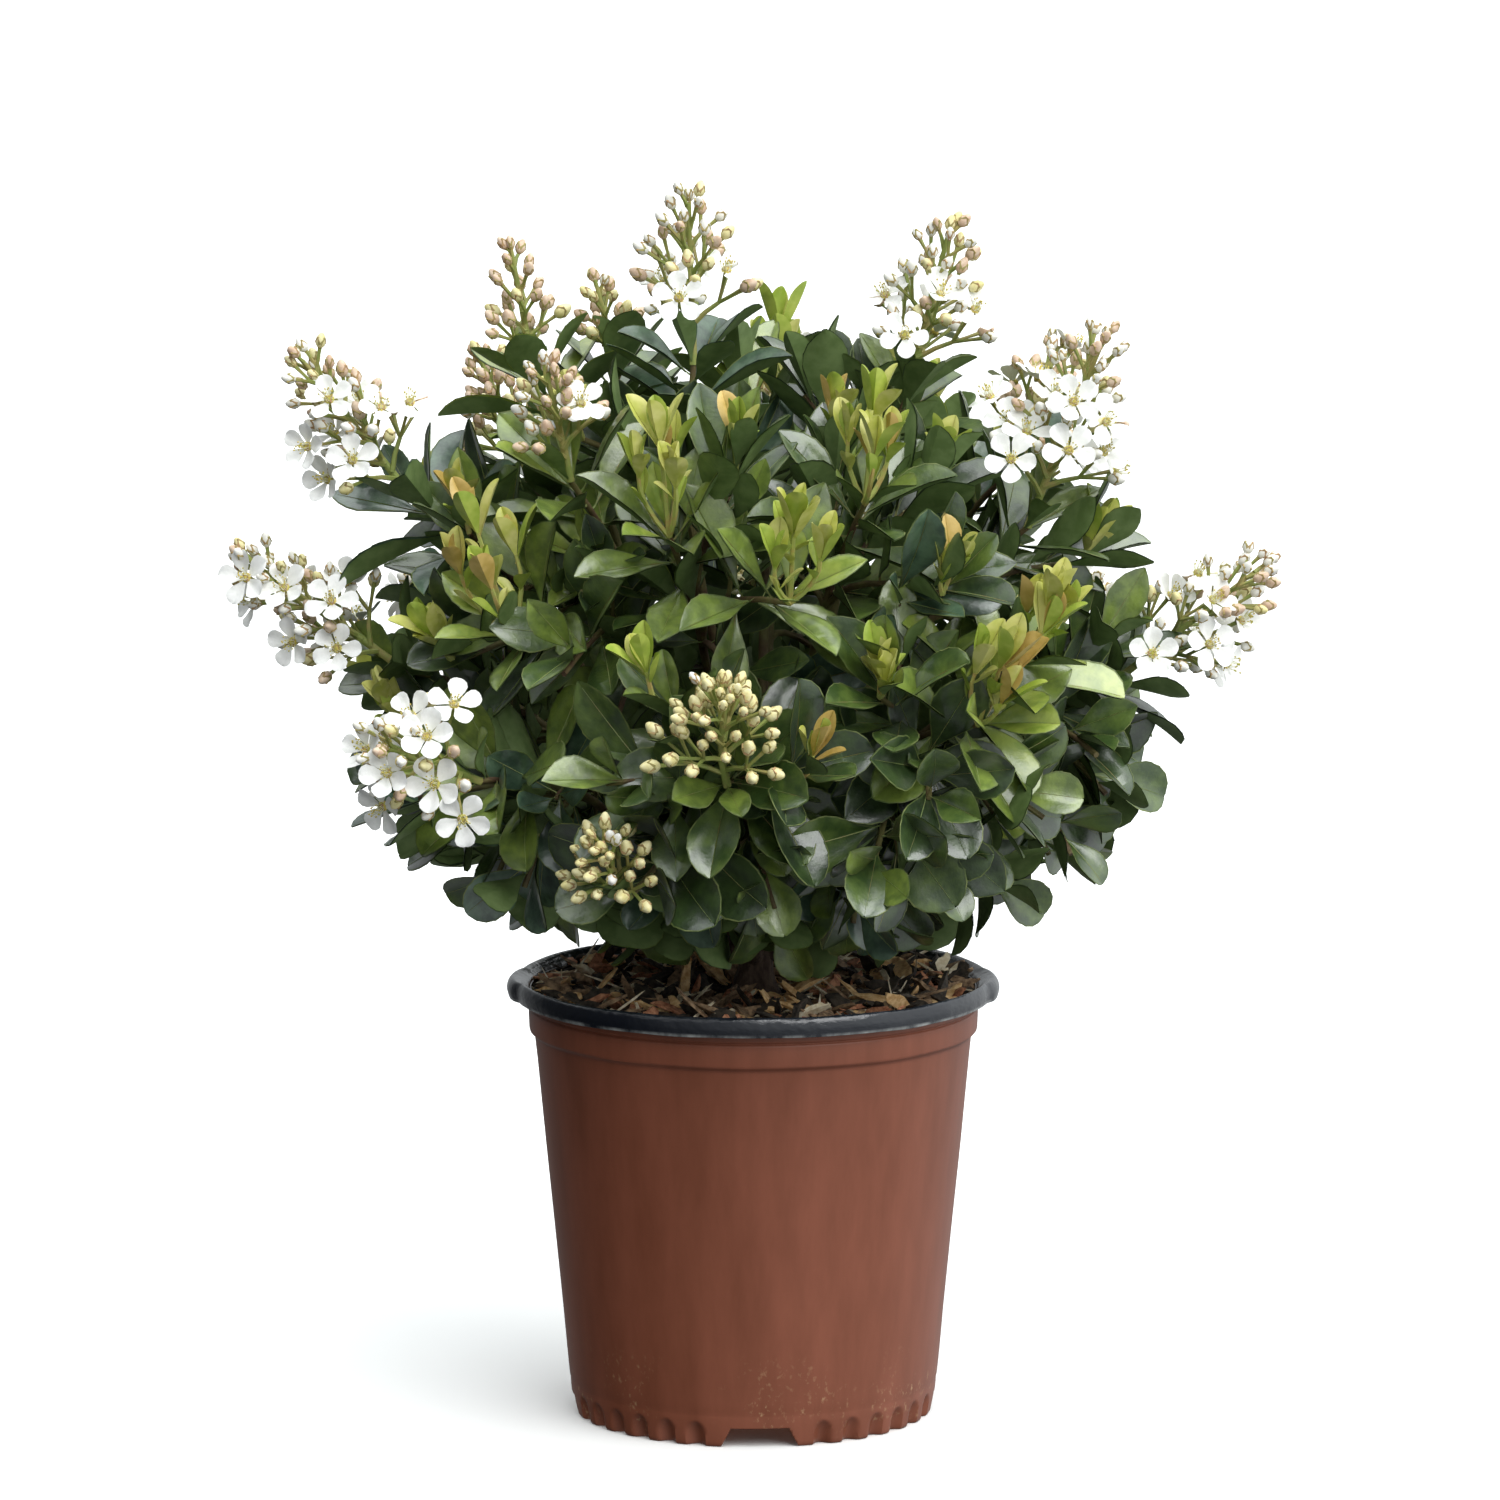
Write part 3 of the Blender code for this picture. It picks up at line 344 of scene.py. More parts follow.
dress(shader, colour, speckle(place, 110, 0.3, 0.7, 5.0, (1, 1, 1.6)), 0.28, 0.0009)

pot_lip = stand("pot_lining_and_lip", bm, blown_black, 40)
cut_out(pot_lip, cutters[NOTCHES:])
for cutter in cutters:
    bpy.data.objects.remove(cutter)
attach(pot_lip, "root")
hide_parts("pot")

# Potting mix. Composted bark and peat, filled in by hand and settled: a nearly level, lumpy bed,
# black and crumbly, that fills the pot down to its floor.

SOIL_SIDES, SOIL_ROWS = 150, 58
SOIL_TOP, SOIL_SETTLED, SOIL_EDGE_RISE = 0.2018, 0.0006, 0.0030
SOIL_RADIUS, SOIL_FLAT_RADIUS = 0.1047, 0.030
LUMPS = ((48, 0.0034, 3.1), (160, 0.0026, 7.7))  # features a metre, height, layer of the noise
CRUMBS, CRUMB_HEIGHT, CRUMB_LAYER = 420, 0.0016, 1.3
LUMPS_END, LUMPS_FADE, FEWEST_LUMPS = 0.1075, 0.01, 0.35


def mound(x, y):
    """Height of the mix at a place, with its hollows, lumps and crumbs."""
    out = math.hypot(x, y)
    rise = SOIL_EDGE_RISE * max(0.0, out - SOIL_FLAT_RADIUS) / (SOIL_RADIUS - SOIL_FLAT_RADIUS)
    lumps = sum(noise.noise(Vector((x, y, layer)) * scale) * high for scale, high, layer in LUMPS)
    lumps += abs(noise.noise(Vector((x, y, CRUMB_LAYER)) * CRUMBS)) * CRUMB_HEIGHT
    lumps *= min(1.0, max(FEWEST_LUMPS, (LUMPS_END - out) / LUMPS_FADE))
    return SOIL_TOP - SOIL_SETTLED + rise + lumps


floor_top = FLOOR_UNDERSIDE + 0.0018
section = [(SOIL_RADIUS * k / SOIL_ROWS, SOIL_TOP) for k in range(SOIL_ROWS + 1)]
section += [
    (SOIL_RADIUS - 0.0002, COLLAR_FOOT + 0.0055), (WALL_TOP_RADIUS - 0.0022, COLLAR_FOOT),
    (wall_radius(0.030) - 0.0022, 0.030), (FOOT_RADIUS - 0.0052, floor_top), (0.0, floor_top),
]
bm = turned(section, SOIL_SIDES)
for v in bm.verts:
    if v.co.z > SOIL_TOP - 0.0001:
        v.co.z = mound(v.co.x, v.co.y)

damp_mix, shader, place = surface("composted_bark_mix", Roughness=0.92, IOR=1.45)
# Composted bark with peat: matt, nearly black where it is damp, flecked with lighter fibres.
colour = spotted(place, shade("100c09"), "3a2f22", 420, 0.42, 0.66, 5.0)
colour = spotted(place, colour, "7a6248", 900, 0.62, 0.72, 4.0)
dress(shader, colour, speckle(place, 900, 0.2, 0.8, 5.0), 0.8, 0.0012)

potting_mix = stand("potting_mix", bm, damp_mix, 60)
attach(potting_mix, "root")
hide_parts("growing_medium")

# Bark mulch. Shredded pine bark strewn over the mix by hand: flat splinters with torn ends, from
# nearly black old bark to fresh orange and tan wood, and some thin pale fibres.

CHIPS, CHIP_FORMS = 900, 9
CHIPS_INSIDE, CHIPS_BAND, CHIPS_END = 0.014, 0.0915, 0.1064
CHIP_TURN, CHIP_PITCH, CHIP_ROLL, CHIP_REACH = 2.39996, 0.34, 0.55, 0.42
CHIP_THICKNESSES, CHIP_LIFTS, THICK_AT_MOST = (0.0010, 0.0026), (-0.0012, 0.0022), 0.8
CHIP_KINDS = (
    # name, share of the chips, length and width in millimetres, two colours
    ("old_bark", 0.30, (8, 22), (3.0, 9.0), "1c1813", "4b4236"),
    ("brown_bark", 0.24, (8, 28), (3.0, 9.0), "5f4a36", "a98c6c"),
    ("red_bark", 0.13, (7, 20), (2.5, 6.5), "8c5438", "cf9672"),
    ("orange_wood", 0.11, (10, 30), (2.5, 9.0), "c4965e", "f2d09a"),
    ("tan_wood", 0.08, (8, 24), (1.6, 5.0), "d2c09a", "f4ead0"),
    ("pale_fibre", 0.14, (8, 24), (0.5, 1.3), "cbb994", "f2e8d2"),
)


def mottled(name, dark, light, spots, grain=None, **settings):
    """A material mottled in spots from one colour to another. A grain gives it bumps: it holds their
    strength and depth, and then how they are speckled."""
    made, shader, place = surface(name, **settings)
    colour = spotted(place, shade(dark), light, *spots)
    if grain:
        strength, depth, *pattern = grain
        dress(shader, colour, speckle(place, *pattern), strength, depth)
    else:
        dress(shader, colour)
    return made


def arrays(bm):
    """A bmesh, used up, as a form: its points and its triangles."""
    bmesh.ops.triangulate(bm, faces=bm.faces)
    bm.verts.index_update()
    points = np.array([v.co[:] for v in bm.verts], float)
    faces = np.array([[v.index for v in f.verts] for f in bm.faces], int)
    bm.free()
    return points, faces


def joined(name, groups, finish, sharp=60):
    """One object from many copies: pairs of a form and the 3x4 matrices that place its copies."""
    points, faces, first = [], [], 0
    for (base, triangles), places in groups:
        if not places:
            continue
        m = np.array(places, float)
        moved = np.einsum("mij,nj->mni", m[:, :, :3], base) + m[:, None, :, 3]
        starts = first + np.arange(len(m)) * len(base)
        faces.append((triangles[None] + starts[:, None, None]).reshape(-1, 3))
        points.append(moved.reshape(-1, 3))
        first += len(m) * len(base)
    mesh = bpy.data.meshes.new(name)
    mesh.from_pydata(np.concatenate(points), [], np.concatenate(faces))
    mesh.update()
    return stand(name, mesh, finish, sharp)


def placing(origin, x, y, z):
    """A 3x4 matrix that puts a copy's own axes along x, y and z, at the origin given."""
    return [[x[i], y[i], z[i], origin[i]] for i in range(3)]


def splinter(rng):
    """One torn flat splinter of unit size, lengthwise along Y."""
    bm = bmesh.new()
    bmesh.ops.create_cube(bm, size=1.0)
    along = [e for e in bm.edges if abs(e.verts[0].co.y - e.verts[1].co.y) > 0.5]
    bmesh.ops.subdivide_edges(bm, edges=along, cuts=3, use_grid_fill=True)
    bow, slant = rng.uniform(-0.5, 0.9), rng.uniform(-0.25, 0.25)
    for v in bm.verts:
        t = v.co.y * 2
        slim = 1 - 0.66 * abs(t) ** 2.2 + rng.uniform(-0.22, 0.22)
        v.co.x = v.co.x * slim + slant * t * 0.5 + rng.uniform(-0.09, 0.09)
        v.co.z = v.co.z * (1 - 0.5 * abs(t) ** 3) + bow * (1 - t * t) + rng.uniform(-0.16, 0.16)
        v.co.y += rng.uniform(-0.11, 0.11)
    bmesh.ops.recalc_face_normals(bm, faces=bm.faces)
    return arrays(bm)


rng = random.Random("bark mulch")
splinters = [splinter(rng) for _ in range(CHIP_FORMS)]
chips = {kind[0]: [[] for _ in splinters] for kind in CHIP_KINDS}
for k in range(CHIPS):
    kind = rng.choices(CHIP_KINDS, [c[1] for c in CHIP_KINDS])[0]
    long, wide = rng.uniform(*kind[2]) / 1000, rng.uniform(*kind[3]) / 1000
    thick = min(rng.uniform(*CHIP_THICKNESSES), wide * THICK_AT_MOST)
    turn, out = k * CHIP_TURN, CHIPS_INSIDE + CHIPS_BAND * math.sqrt((k + 0.5) / CHIPS)
    out = min(out, CHIPS_END - long * CHIP_REACH)
    yaw, pitch, roll = rng.uniform(0, math.tau), rng.gauss(0, CHIP_PITCH), rng.gauss(0, CHIP_ROLL)
    x, y = math.sin(turn) * out, -math.cos(turn) * out
    lift = rng.uniform(*CHIP_LIFTS) + abs(math.sin(pitch)) * long * CHIP_REACH
    axes = Matrix.Rotation(yaw, 3, "Z") @ Matrix.Rotation(pitch, 3, "X") @ Matrix.Rotation(roll, 3, "Y")
    size = Vector((wide, long, thick))
    chips[kind[0]][k % CHIP_FORMS].append(
        placing(Vector((x, y, mound(x, y) + lift)), *(axes.col[i] * size[i] for i in range(3)))
    )
for name, _, _, _, dark, light in CHIP_KINDS:
    # Torn pine bark and wood: matt and rough, mottled from its darker colour to its lighter one.
    finish = mottled(
        f"shredded_pine_{name}", dark, light, (330, 0.35, 0.66, 4.0),
        (0.6, 0.0005, 1300, 0.25, 0.75, 3.0), Roughness=0.85, IOR=1.45,
    )
    piece = joined(f"mulch_{name}", zip(splinters, chips[name]), finish, 38)
    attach(piece, "root")
    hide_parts("growing_medium")

# Main stem and boughs. The short woody foot forks low down into three tiers of boughs. The bark is
# grey-brown, thin and finely cracked, ridged lengthwise on the foot and smoother on the boughs.

STEM_FOOT, STEM_TOP, STEM_LEAN, STEM_BURIED = 0.1993, 0.2818, 0.004, 0.004
STEM_FOOT_RADIUS, STEM_RADIUS, STEM_TOP_RADIUS, STEM_FLARE = 0.0165, 0.0086, 0.0042, 0.006
STEM_STEPS, STEM_SIDES, STEM_ROUGHNESS = 70, 30, 0.09
STEM_LOBES, LOBE_DEPTH, LOBE_TURN = 3, 0.22, 0.7
BOUGH_STEPS, BOUGH_SIDES, BOUGH_ROUGHNESS, BOUGH_OUT, BOUGH_UP = 26, 12, 0.10, 0.75, 0.34
FORK, CENTRE = Vector((0, 0, 0.2408)), Vector((0, 0, 0.2958))
BOUGH_SHARE, BOUGH_RADIUS, BOUGH_TIP_RADIUS = 0.42, 0.0034, 0.0025
BOUGH_COLLAR = (1.5, 1.35, 1.2, 1.1)  # how much thicker a bough is where it leaves the stem
OPEN, BUD, YOUNG = "open", "bud", "young"

# Each mass of foliage, by tier and side, with its named shoots: degrees round from the front and
# above level from the plant's centre, reach of the last leaves, what it ends in, that end's length,
# how many degrees above level it points, how many of its flowers are open or the share of young
# leaves that are bronze, and how far its flowers spread.
MASSES = {
    "low_left": ((-86, 21, 0.177, OPEN, 0.099, 36, 10, 0.031),),
    "low_front_left": ((-45, 9, 0.180, OPEN, 0.066, 20, 14, 0.039),),
    "low_front": (
        (-4, 11, 0.176, BUD, 0.064, 50, 0, 0.033), (-21, -8, 0.160, BUD, 0.046, 40, 0, 0.024),
    ),
    "low_front_right": (
        (36, 18, 0.184, YOUNG, 0.040, 60, 0.45, 0), (47, 26, 0.190, YOUNG, 0.036, 60, 0.25, 0),
    ),
    "low_right": ((84, 19, 0.182, OPEN, 0.094, 39, 10, 0.035),),
    "low_back_right": ((133, 14, 0.180, OPEN, 0.070, 34, 10, 0.027),),
    "low_back": ((180, 17, 0.158, BUD, 0.060, 42, 0, 0.024),),
    "low_back_left": ((-134, 16, 0.182, OPEN, 0.072, 34, 9, 0.027),),
    "mid_left": ((-84, 42, 0.214, OPEN, 0.094, 52, 9, 0.031),),
    "mid_front_left": (
        (-46, 54, 0.200, OPEN, 0.058, 74, 2, 0.024), (-47, 31, 0.178, YOUNG, 0.062, 68, 0.70, 0),
    ),
    "mid_front": (
        (-17, 47, 0.194, YOUNG, 0.052, 74, 0.10, 0), (6, 36, 0.196, YOUNG, 0.044, 66, 0.05, 0),
    ),
    "mid_front_right": ((24, 51, 0.200, YOUNG, 0.048, 78, 0.20, 0),),
    "mid_right": ((71, 45, 0.192, OPEN, 0.102, 68, 11, 0.035),),
    "mid_back_right": ((122, 46, 0.200, OPEN, 0.078, 60, 9, 0.027),),
    "mid_back": ((174, 44, 0.196, OPEN, 0.080, 58, 10, 0.027),),
    "mid_back_left": ((-130, 45, 0.200, BUD, 0.070, 62, 0, 0.022),),
    "top_left": (
        (-101, 62, 0.226, BUD, 0.066, 80, 0, 0.018), (-118, 70, 0.212, BUD, 0.050, 74, 0, 0.015),
    ),
    "top": ((-58, 81, 0.212, OPEN, 0.082, 88, 3, 0.033),),
    "top_right": ((76, 69, 0.208, OPEN, 0.086, 76, 6, 0.034),),
    "top_back": ((172, 68, 0.200, YOUNG, 0.036, 76, 0.15, 0),),
}
LEADER = "top"
TIER_HEIGHTS = {"low": (0.2183, 0.2293), "mid": (0.2403, 0.2508), "top": (0.2638, 0.2638)}
FOLIAGE = [f"foliage_{name}" for name in MASSES]


def pointing(turn, rise):
    """The unit way that points so many degrees round from the front and so many above level."""
    a, e = math.radians(turn), math.radians(rise)
    return Vector((math.sin(a) * math.cos(e), -math.cos(a) * math.cos(e), math.sin(e)))


def square_to(way):
    """Two unit ways square to the given one and to each other."""
    helper = Vector((0, 0, 1)) if abs(way.z) < 0.9 else Vector((1, 0, 0))
    side = way.cross(helper).normalized()
    return side, way.cross(side).normalized()


def bend(start, middle, end, share):
    """A point on the smooth bend from start to end that is drawn towards the middle point."""
    return start * (1 - share) ** 2 + middle * (2 * share * (1 - share)) + end * share**2


def stem_axis(z):
    """Middle of the leaning main stem at a height."""
    share = (z - STEM_FOOT) / (STEM_TOP - STEM_FOOT)
    return Vector((STEM_LEAN * share * (1 - share) * 2, -STEM_LEAN * 0.5 * share, z))


def shoot_tip(shoot):
    """Where a named shoot's last leaves sit."""
    return CENTRE + pointing(shoot[0], shoot[1]) * shoot[2]


def bough_bend(name):
    """Start, middle and end of a mass's bough, from inside the main stem out and up to the mass."""
    tier = name.split("_")[0]
    end = FORK + (shoot_tip(MASSES[name][0]) - FORK) * BOUGH_SHARE
    if name == LEADER:
        start = stem_axis(STEM_TOP)
        return start, start + Vector((0, 0, (end - start).length * 0.5)), end
    names = [n for n in MASSES if n.split("_")[0] == tier]
    start = stem_axis(TIER_HEIGHTS[tier][names.index(name) % 2])
    out = end - start
    return start, start + Vector((out.x, out.y, 0)) * BOUGH_OUT + Vector((0, 0, out.z * BOUGH_UP)), end


def tube(points, radii, sides, rough=0.0):
    """A round limb with closed ends, as a form, its bark raised and sunk by noise."""
    points = [Vector(p) for p in points]
    rings, side = [], None
    for i, point in enumerate(points):
        way = (points[min(i + 1, len(points) - 1)] - points[max(i - 1, 0)]).normalized()
        if side is None:
            side = square_to(way)[0]
        side = (side - way * side.dot(way)).normalized()
        over = way.cross(side)
        for k in range(sides):
            a = math.tau * k / sides
            out = side * math.cos(a) + over * math.sin(a)
            radius = radii[i]
            if rough:
                place = point + out * radius
                ridges = noise.noise(Vector((place.x * 420, place.y * 420, place.z * 90)))
                knots = noise.noise(place * 130)
                radius *= 1 + rough * (ridges * 0.7 + knots)
            rings.append(point + out * radius)
    rings += [points[0], points[-1]]
    faces, last = [], len(points) - 1
    low, high = len(points) * sides, len(points) * sides + 1
    for i in range(last):
        for k in range(sides):
            a, b = i * sides + k, i * sides + (k + 1) % sides
            faces += [(a, b, b + sides), (a, b + sides, a + sides)]
    for k in range(sides):
        j = (k + 1) % sides
        faces += [(low, j, k), (high, last * sides + k, last * sides + j)]
    return np.array([p[:] for p in rings], float), np.array(faces, int)


STILL = [placing((0, 0, 0), (1, 0, 0), (0, 1, 0), (0, 0, 1))]


def taper(thick, thin, steps):
    """Evenly falling radii from the first point of a limb to its last."""
    return [thick + (thin - thick) * k / steps for k in range(steps + 1)]


def limb(bent, radii, sides, rough=0.0):
    """A limb along a smooth bend, already in its place, with a radius for each of its points."""
    last = len(radii) - 1
    return tube([bend(*bent, k / last) for k in range(last + 1)], radii, sides, rough), STILL


buried = STEM_FOOT - STEM_BURIED
heights = [buried + (STEM_TOP - STEM_FOOT + STEM_BURIED) * k / STEM_STEPS for k in range(STEM_STEPS + 1)]
stem_radii = []
for z in heights:
    share = max(0.0, (z - STEM_FOOT) / (STEM_TOP - STEM_FOOT))
    flare = (STEM_FOOT_RADIUS - STEM_RADIUS) * math.exp(-max(0.0, z - STEM_FOOT) / STEM_FLARE)
    stem_radii.append(STEM_RADIUS + (STEM_TOP_RADIUS - STEM_RADIUS) * share + flare)
stem = tube([stem_axis(z) for z in heights], stem_radii, STEM_SIDES, STEM_ROUGHNESS)
for p in stem[0]:
    above = max(0.0, p[2] - STEM_FOOT)
    lobe = math.cos(STEM_LOBES * math.atan2(p[1], p[0]) + LOBE_TURN)
    p[:2] *= 1 + LOBE_DEPTH * math.exp(-above / STEM_FLARE) * lobe
limbs = [(stem, STILL)]
for name in MASSES:
    radii = taper(BOUGH_RADIUS, BOUGH_TIP_RADIUS, BOUGH_STEPS)
    for k, more in enumerate(BOUGH_COLLAR):
        radii[k] *= more
    limbs.append(limb(bough_bend(name), radii, BOUGH_SIDES, BOUGH_ROUGHNESS))

# Thin dry bark: matt grey-brown with lighter upright streaks, and fine cracks that run up the stem.
shrub_bark = mottled(
    "shrub_bark_grey_brown", "423126", "705e4f", (300, 0.35, 0.68, 4.0, (1, 1, 0.3)),
    (0.6, 0.0006, 700, 0.3, 0.7, 4.0, (1, 1, 0.3)), Roughness=0.82, IOR=1.45,
)
stem_and_boughs = joined("stem_and_boughs", limbs, shrub_bark)
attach(stem_and_boughs, "root")
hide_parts("main_stem", *[f"bough_{name}" for name in MASSES])

# Twigs. From each bough's tip the limb grows on into its mass: a stem to the named shoot, twigs
# from it to leafy shoots spread evenly over the plant, and finer side twigs from those.

TWIG_RADIUS, TWIG_TIP_RADIUS, TWIG_BEND = 0.0019, 0.0014, 0.42
EARLIEST_TWIG, LATEST_TWIG = 0.06, 0.62
SIDE_TWIG_RADII = (0.0014, 0.0013, 0.0012, 0.0011, 0.0010)
SIDE_TWIG_LENGTHS, SIDE_TWIG_CLEAR, FORKS_FROM = (0.022, 0.036), 0.016, 0.045
GOLDEN_TURN = math.radians(137.508)
SHOOT_LATTICE, LOWEST_SHOOT = 140, math.radians(-52)
SHOOT_SPACING = math.radians(10)
SIDE_REACH, UP_REACH, DOWN_REACH = 0.172, 0.034, 0.150
INNER_LATTICE, INNER_LOWEST, INNER_SHARE = 84, math.radians(-6), 0.70
UNDERSIDE, UNDERSIDE_RADIUS, UNDERSIDE_SLOPE = 0.2078, 0.085, 0.62


def share_of(value, low, high):
    """How far a value is on its way from a low one to a high one, from 0 to 1."""
    return max(0.0, min(1.0, (value - low) / (high - low)))


def reach_at(rise):
    """How far from the centre the last leaves of an unnamed shoot sit, by the height it points at."""
    up = math.sin(rise)
    return SIDE_REACH + (UP_REACH if up > 0 else DOWN_REACH) * up


def mass_way(name):
    """The way from the fork to the middle of a mass's named shoots."""
    tips = [shoot_tip(shoot) for shoot in MASSES[name]]
    return (sum(tips, Vector()) / len(tips) - FORK).normalized()


def lattice_shoots():
    """Unnamed leafy shoots by mass: spread evenly over the plant, and some deeper inside it."""
    named = [pointing(s[0], s[1]) for shoots in MASSES.values() for s in shoots]
    ways = {name: mass_way(name) for name in MASSES}
    found = {name: [] for name in MASSES}
    rng = random.Random("leafy shoots")
    lattices = ((SHOOT_LATTICE, LOWEST_SHOOT, 1.0), (INNER_LATTICE, INNER_LOWEST, INNER_SHARE))
    for count, lowest, share in lattices:
        for k in range(count):
            rise = math.asin(1 - (2 * k + 1) / count) + rng.uniform(-0.05, 0.05)
            turn = k * GOLDEN_TURN + rng.uniform(-0.08, 0.08) + share
            reach = reach_at(rise) * rng.uniform(0.94, 1.04) * share
            way = pointing(math.degrees(turn), math.degrees(rise))
            crowded = share == 1.0 and any(way.angle(other) < SHOOT_SPACING for other in named)
            if rise < lowest or crowded:
                continue
            tip = CENTRE + way * reach
            found[max(ways, key=lambda n: ways[n].dot((tip - FORK).normalized()))].append(tip)
    return found


def underside(x, y):
    """The lowest that leaves hang at a place, clear of the pot."""
    return UNDERSIDE + max(0.0, math.hypot(x, y) - UNDERSIDE_RADIUS) * UNDERSIDE_SLOPE


def leaning(axis, turn, lean):
    """For a part that leans from an axis at a turn round it: its way, its face's way, and the way
    square to the axis that it leans towards."""
    side, over = square_to(axis)
    level = side * math.cos(turn) + over * math.sin(turn)
    along = axis * math.cos(lean) + level * math.sin(lean)
    return along, axis * math.sin(lean) - level * math.cos(lean), level


leafy = lattice_shoots()
twigs = []
# Each shoot: its twig's bend, the way it faces, its named shoot or None, the size of its leaves, and
# its rank, which is 0 for a named shoot, 1 for a leafy one and 2 for a side twig.
shoots = []
for name in MASSES:
    rng = random.Random(name)
    bough = bough_bend(name)
    start, main_tip = bough[2], shoot_tip(MASSES[name][0])
    middle = start + (bough[2] - bough[1]).normalized() * ((main_tip - start).length * 0.5)
    main = (start, middle, main_tip)
    twigs.append(limb(main, taper(BOUGH_TIP_RADIUS, TWIG_TIP_RADIUS, 10), 8, 0.06))
    ends = [(shoot_tip(s), s) for s in MASSES[name]] + [(tip, None) for tip in leafy[name]]
    for n, (tip, shoot) in enumerate(ends):
        twig = main
        if n:
            spreading = (tip - CENTRE).angle(main_tip - CENTRE)
            leave = max(EARLIEST_TWIG, min(LATEST_TWIG, 0.72 - 0.85 * spreading))
            root = bend(*main, leave)
            along = (bend(*main, leave + 0.05) - root).normalized()
            twig = (root, root + along * ((tip - root).length * TWIG_BEND), tip)
            twigs.append(limb(twig, taper(TWIG_RADIUS, TWIG_TIP_RADIUS, 7), 6, 0.05))
        way = (twig[2] - bend(*twig, 0.85)).normalized()
        outward = (tip - CENTRE).normalized()
        upward = Vector((0, 0, 0.12 + 0.50 * share_of(outward.z, -0.15, 0.60)))
        facing = (way * 0.5 + outward * 0.6 + upward).normalized()
        shoots.append((twig, facing, shoot, 1.0, 0 if shoot else 1))
        if (tip - twig[0]).length <= FORKS_FROM:
            continue
        leave = rng.uniform(0.50, 0.62)
        root = bend(*twig, leave)
        way = (bend(*twig, leave + 0.05) - root).normalized()
        away = leaning(way, rng.uniform(0, math.tau), 0.0)[2]
        out = (way * 0.72 + away * 0.75 + outward * 0.25 + Vector((0, 0, 0.12))).normalized()
        end = root + out * rng.uniform(*SIDE_TWIG_LENGTHS)
        beyond = end - CENTRE
        too_far = beyond.length > reach_at(math.asin(beyond.z / beyond.length)) * 0.94
        if too_far or end.z < underside(end.x, end.y) + SIDE_TWIG_CLEAR:
            continue
        bow = root + way * 0.010
        twigs.append(limb((root, bow, end), SIDE_TWIG_RADII, 5))
        facing = ((end - bow).normalized() * 0.6 + outward * 0.5 + upward).normalized()
        shoots.append(((root, bow, end), facing, None, rng.uniform(0.72, 0.92), 2))

# Twigs of the last two years: thin smooth bark, reddish brown and still half green.
green_bark = mottled(
    "young_twig_bark", "5b4632", "6e6a3c", (60, 0.40, 0.62),
    (0.3, 0.0003, 900, 0.3, 0.7, 3.0), Roughness=0.62, IOR=1.45,
)
twig_piece = joined("twigs", twigs, green_bark)
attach(twig_piece, "root")
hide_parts(*FOLIAGE)

# Leaves. Evergreen and leathery, blunt, widest past the middle, 40 to 57 mm long when full grown, on
# short stalks. They crowd at the shoots' ends in rosettes, the oldest lowest and leaning out most.

LEAF_LENGTH, LEAF_WIDTH, LEAF_THICKNESS = 0.050, 0.0205, 0.00040
LEAF_STALK, RIB_RADIUS, MARGIN_WIDTH = 0.10, 0.0112, 0.035  # shares of length, length and half width
BLADE_COLUMNS = 4
SLIM_OUTLINE = (
    # share of the length, share of half the width, slightly toothed past the middle
    (0.00, 0.05), (0.08, 0.11), (0.19, 0.30), (0.31, 0.56), (0.43, 0.80), (0.55, 0.97), (0.61, 1.00),
    (0.625, 0.96), (0.73, 0.93), (0.745, 0.88), (0.835, 0.73), (0.85, 0.67), (0.93, 0.40), (1.00, 0.05),
)
BLUNT_OUTLINE = (
    (0.00, 0.05), (0.08, 0.10), (0.20, 0.28), (0.33, 0.56), (0.46, 0.82), (0.58, 0.97), (0.66, 1.00),
    (0.675, 0.97), (0.77, 0.95), (0.785, 0.91), (0.875, 0.77), (0.89, 0.72), (0.96, 0.47), (1.00, 0.10),
)
LEAF_FORMS = (
    # fold at the midrib, arch of each half, curl down, wave, twist
    (0.16, 0.16, 0.10, 0.006, 0.06), (0.26, 0.12, 0.24, 0.010, -0.12), (0.10, 0.20, 0.02, 0.012, 0.04),
    (0.20, 0.17, 0.36, 0.008, 0.14), (0.30, 0.12, 0.16, 0.012, -0.06), (0.14, 0.20, -0.12, 0.010, 0.10),
)
LEAF_TINTS = {
    "blue_green": ("2f4736", "59735a"),
    "deep_green": ("22331a", "3f542a"),
    "dark_green": ("364c21", "5c7132"),
    "mid_green": ("56692a", "80943f"),
    "fresh_green": ("768c33", "a0ae4e"),
}
# Shares of the tints inside the plant, darker there as shade leaves and as painted shade, then in its low,
# middle and upper sprays.
INSIDE_PAINTED_SHADE_MIX, LOW_MIX, MIDDLE_MIX, UPPER_MIX = (
    (12, 56, 28, 4, 0), (32, 34, 29, 5, 0), (13, 30, 37, 16, 4), (5, 22, 38, 26, 9)
)
LOW_BELOW, MIDDLE_BELOW = 8, 35
YOUNGER_BEFORE = 0.28  # the age, from 0 to 1, up to which a leaf has the next lighter tint
RAISES = (0.0, 0.25, 0.55, 0.9)  # how much a leaf that would reach the pot is raised, tried in turn


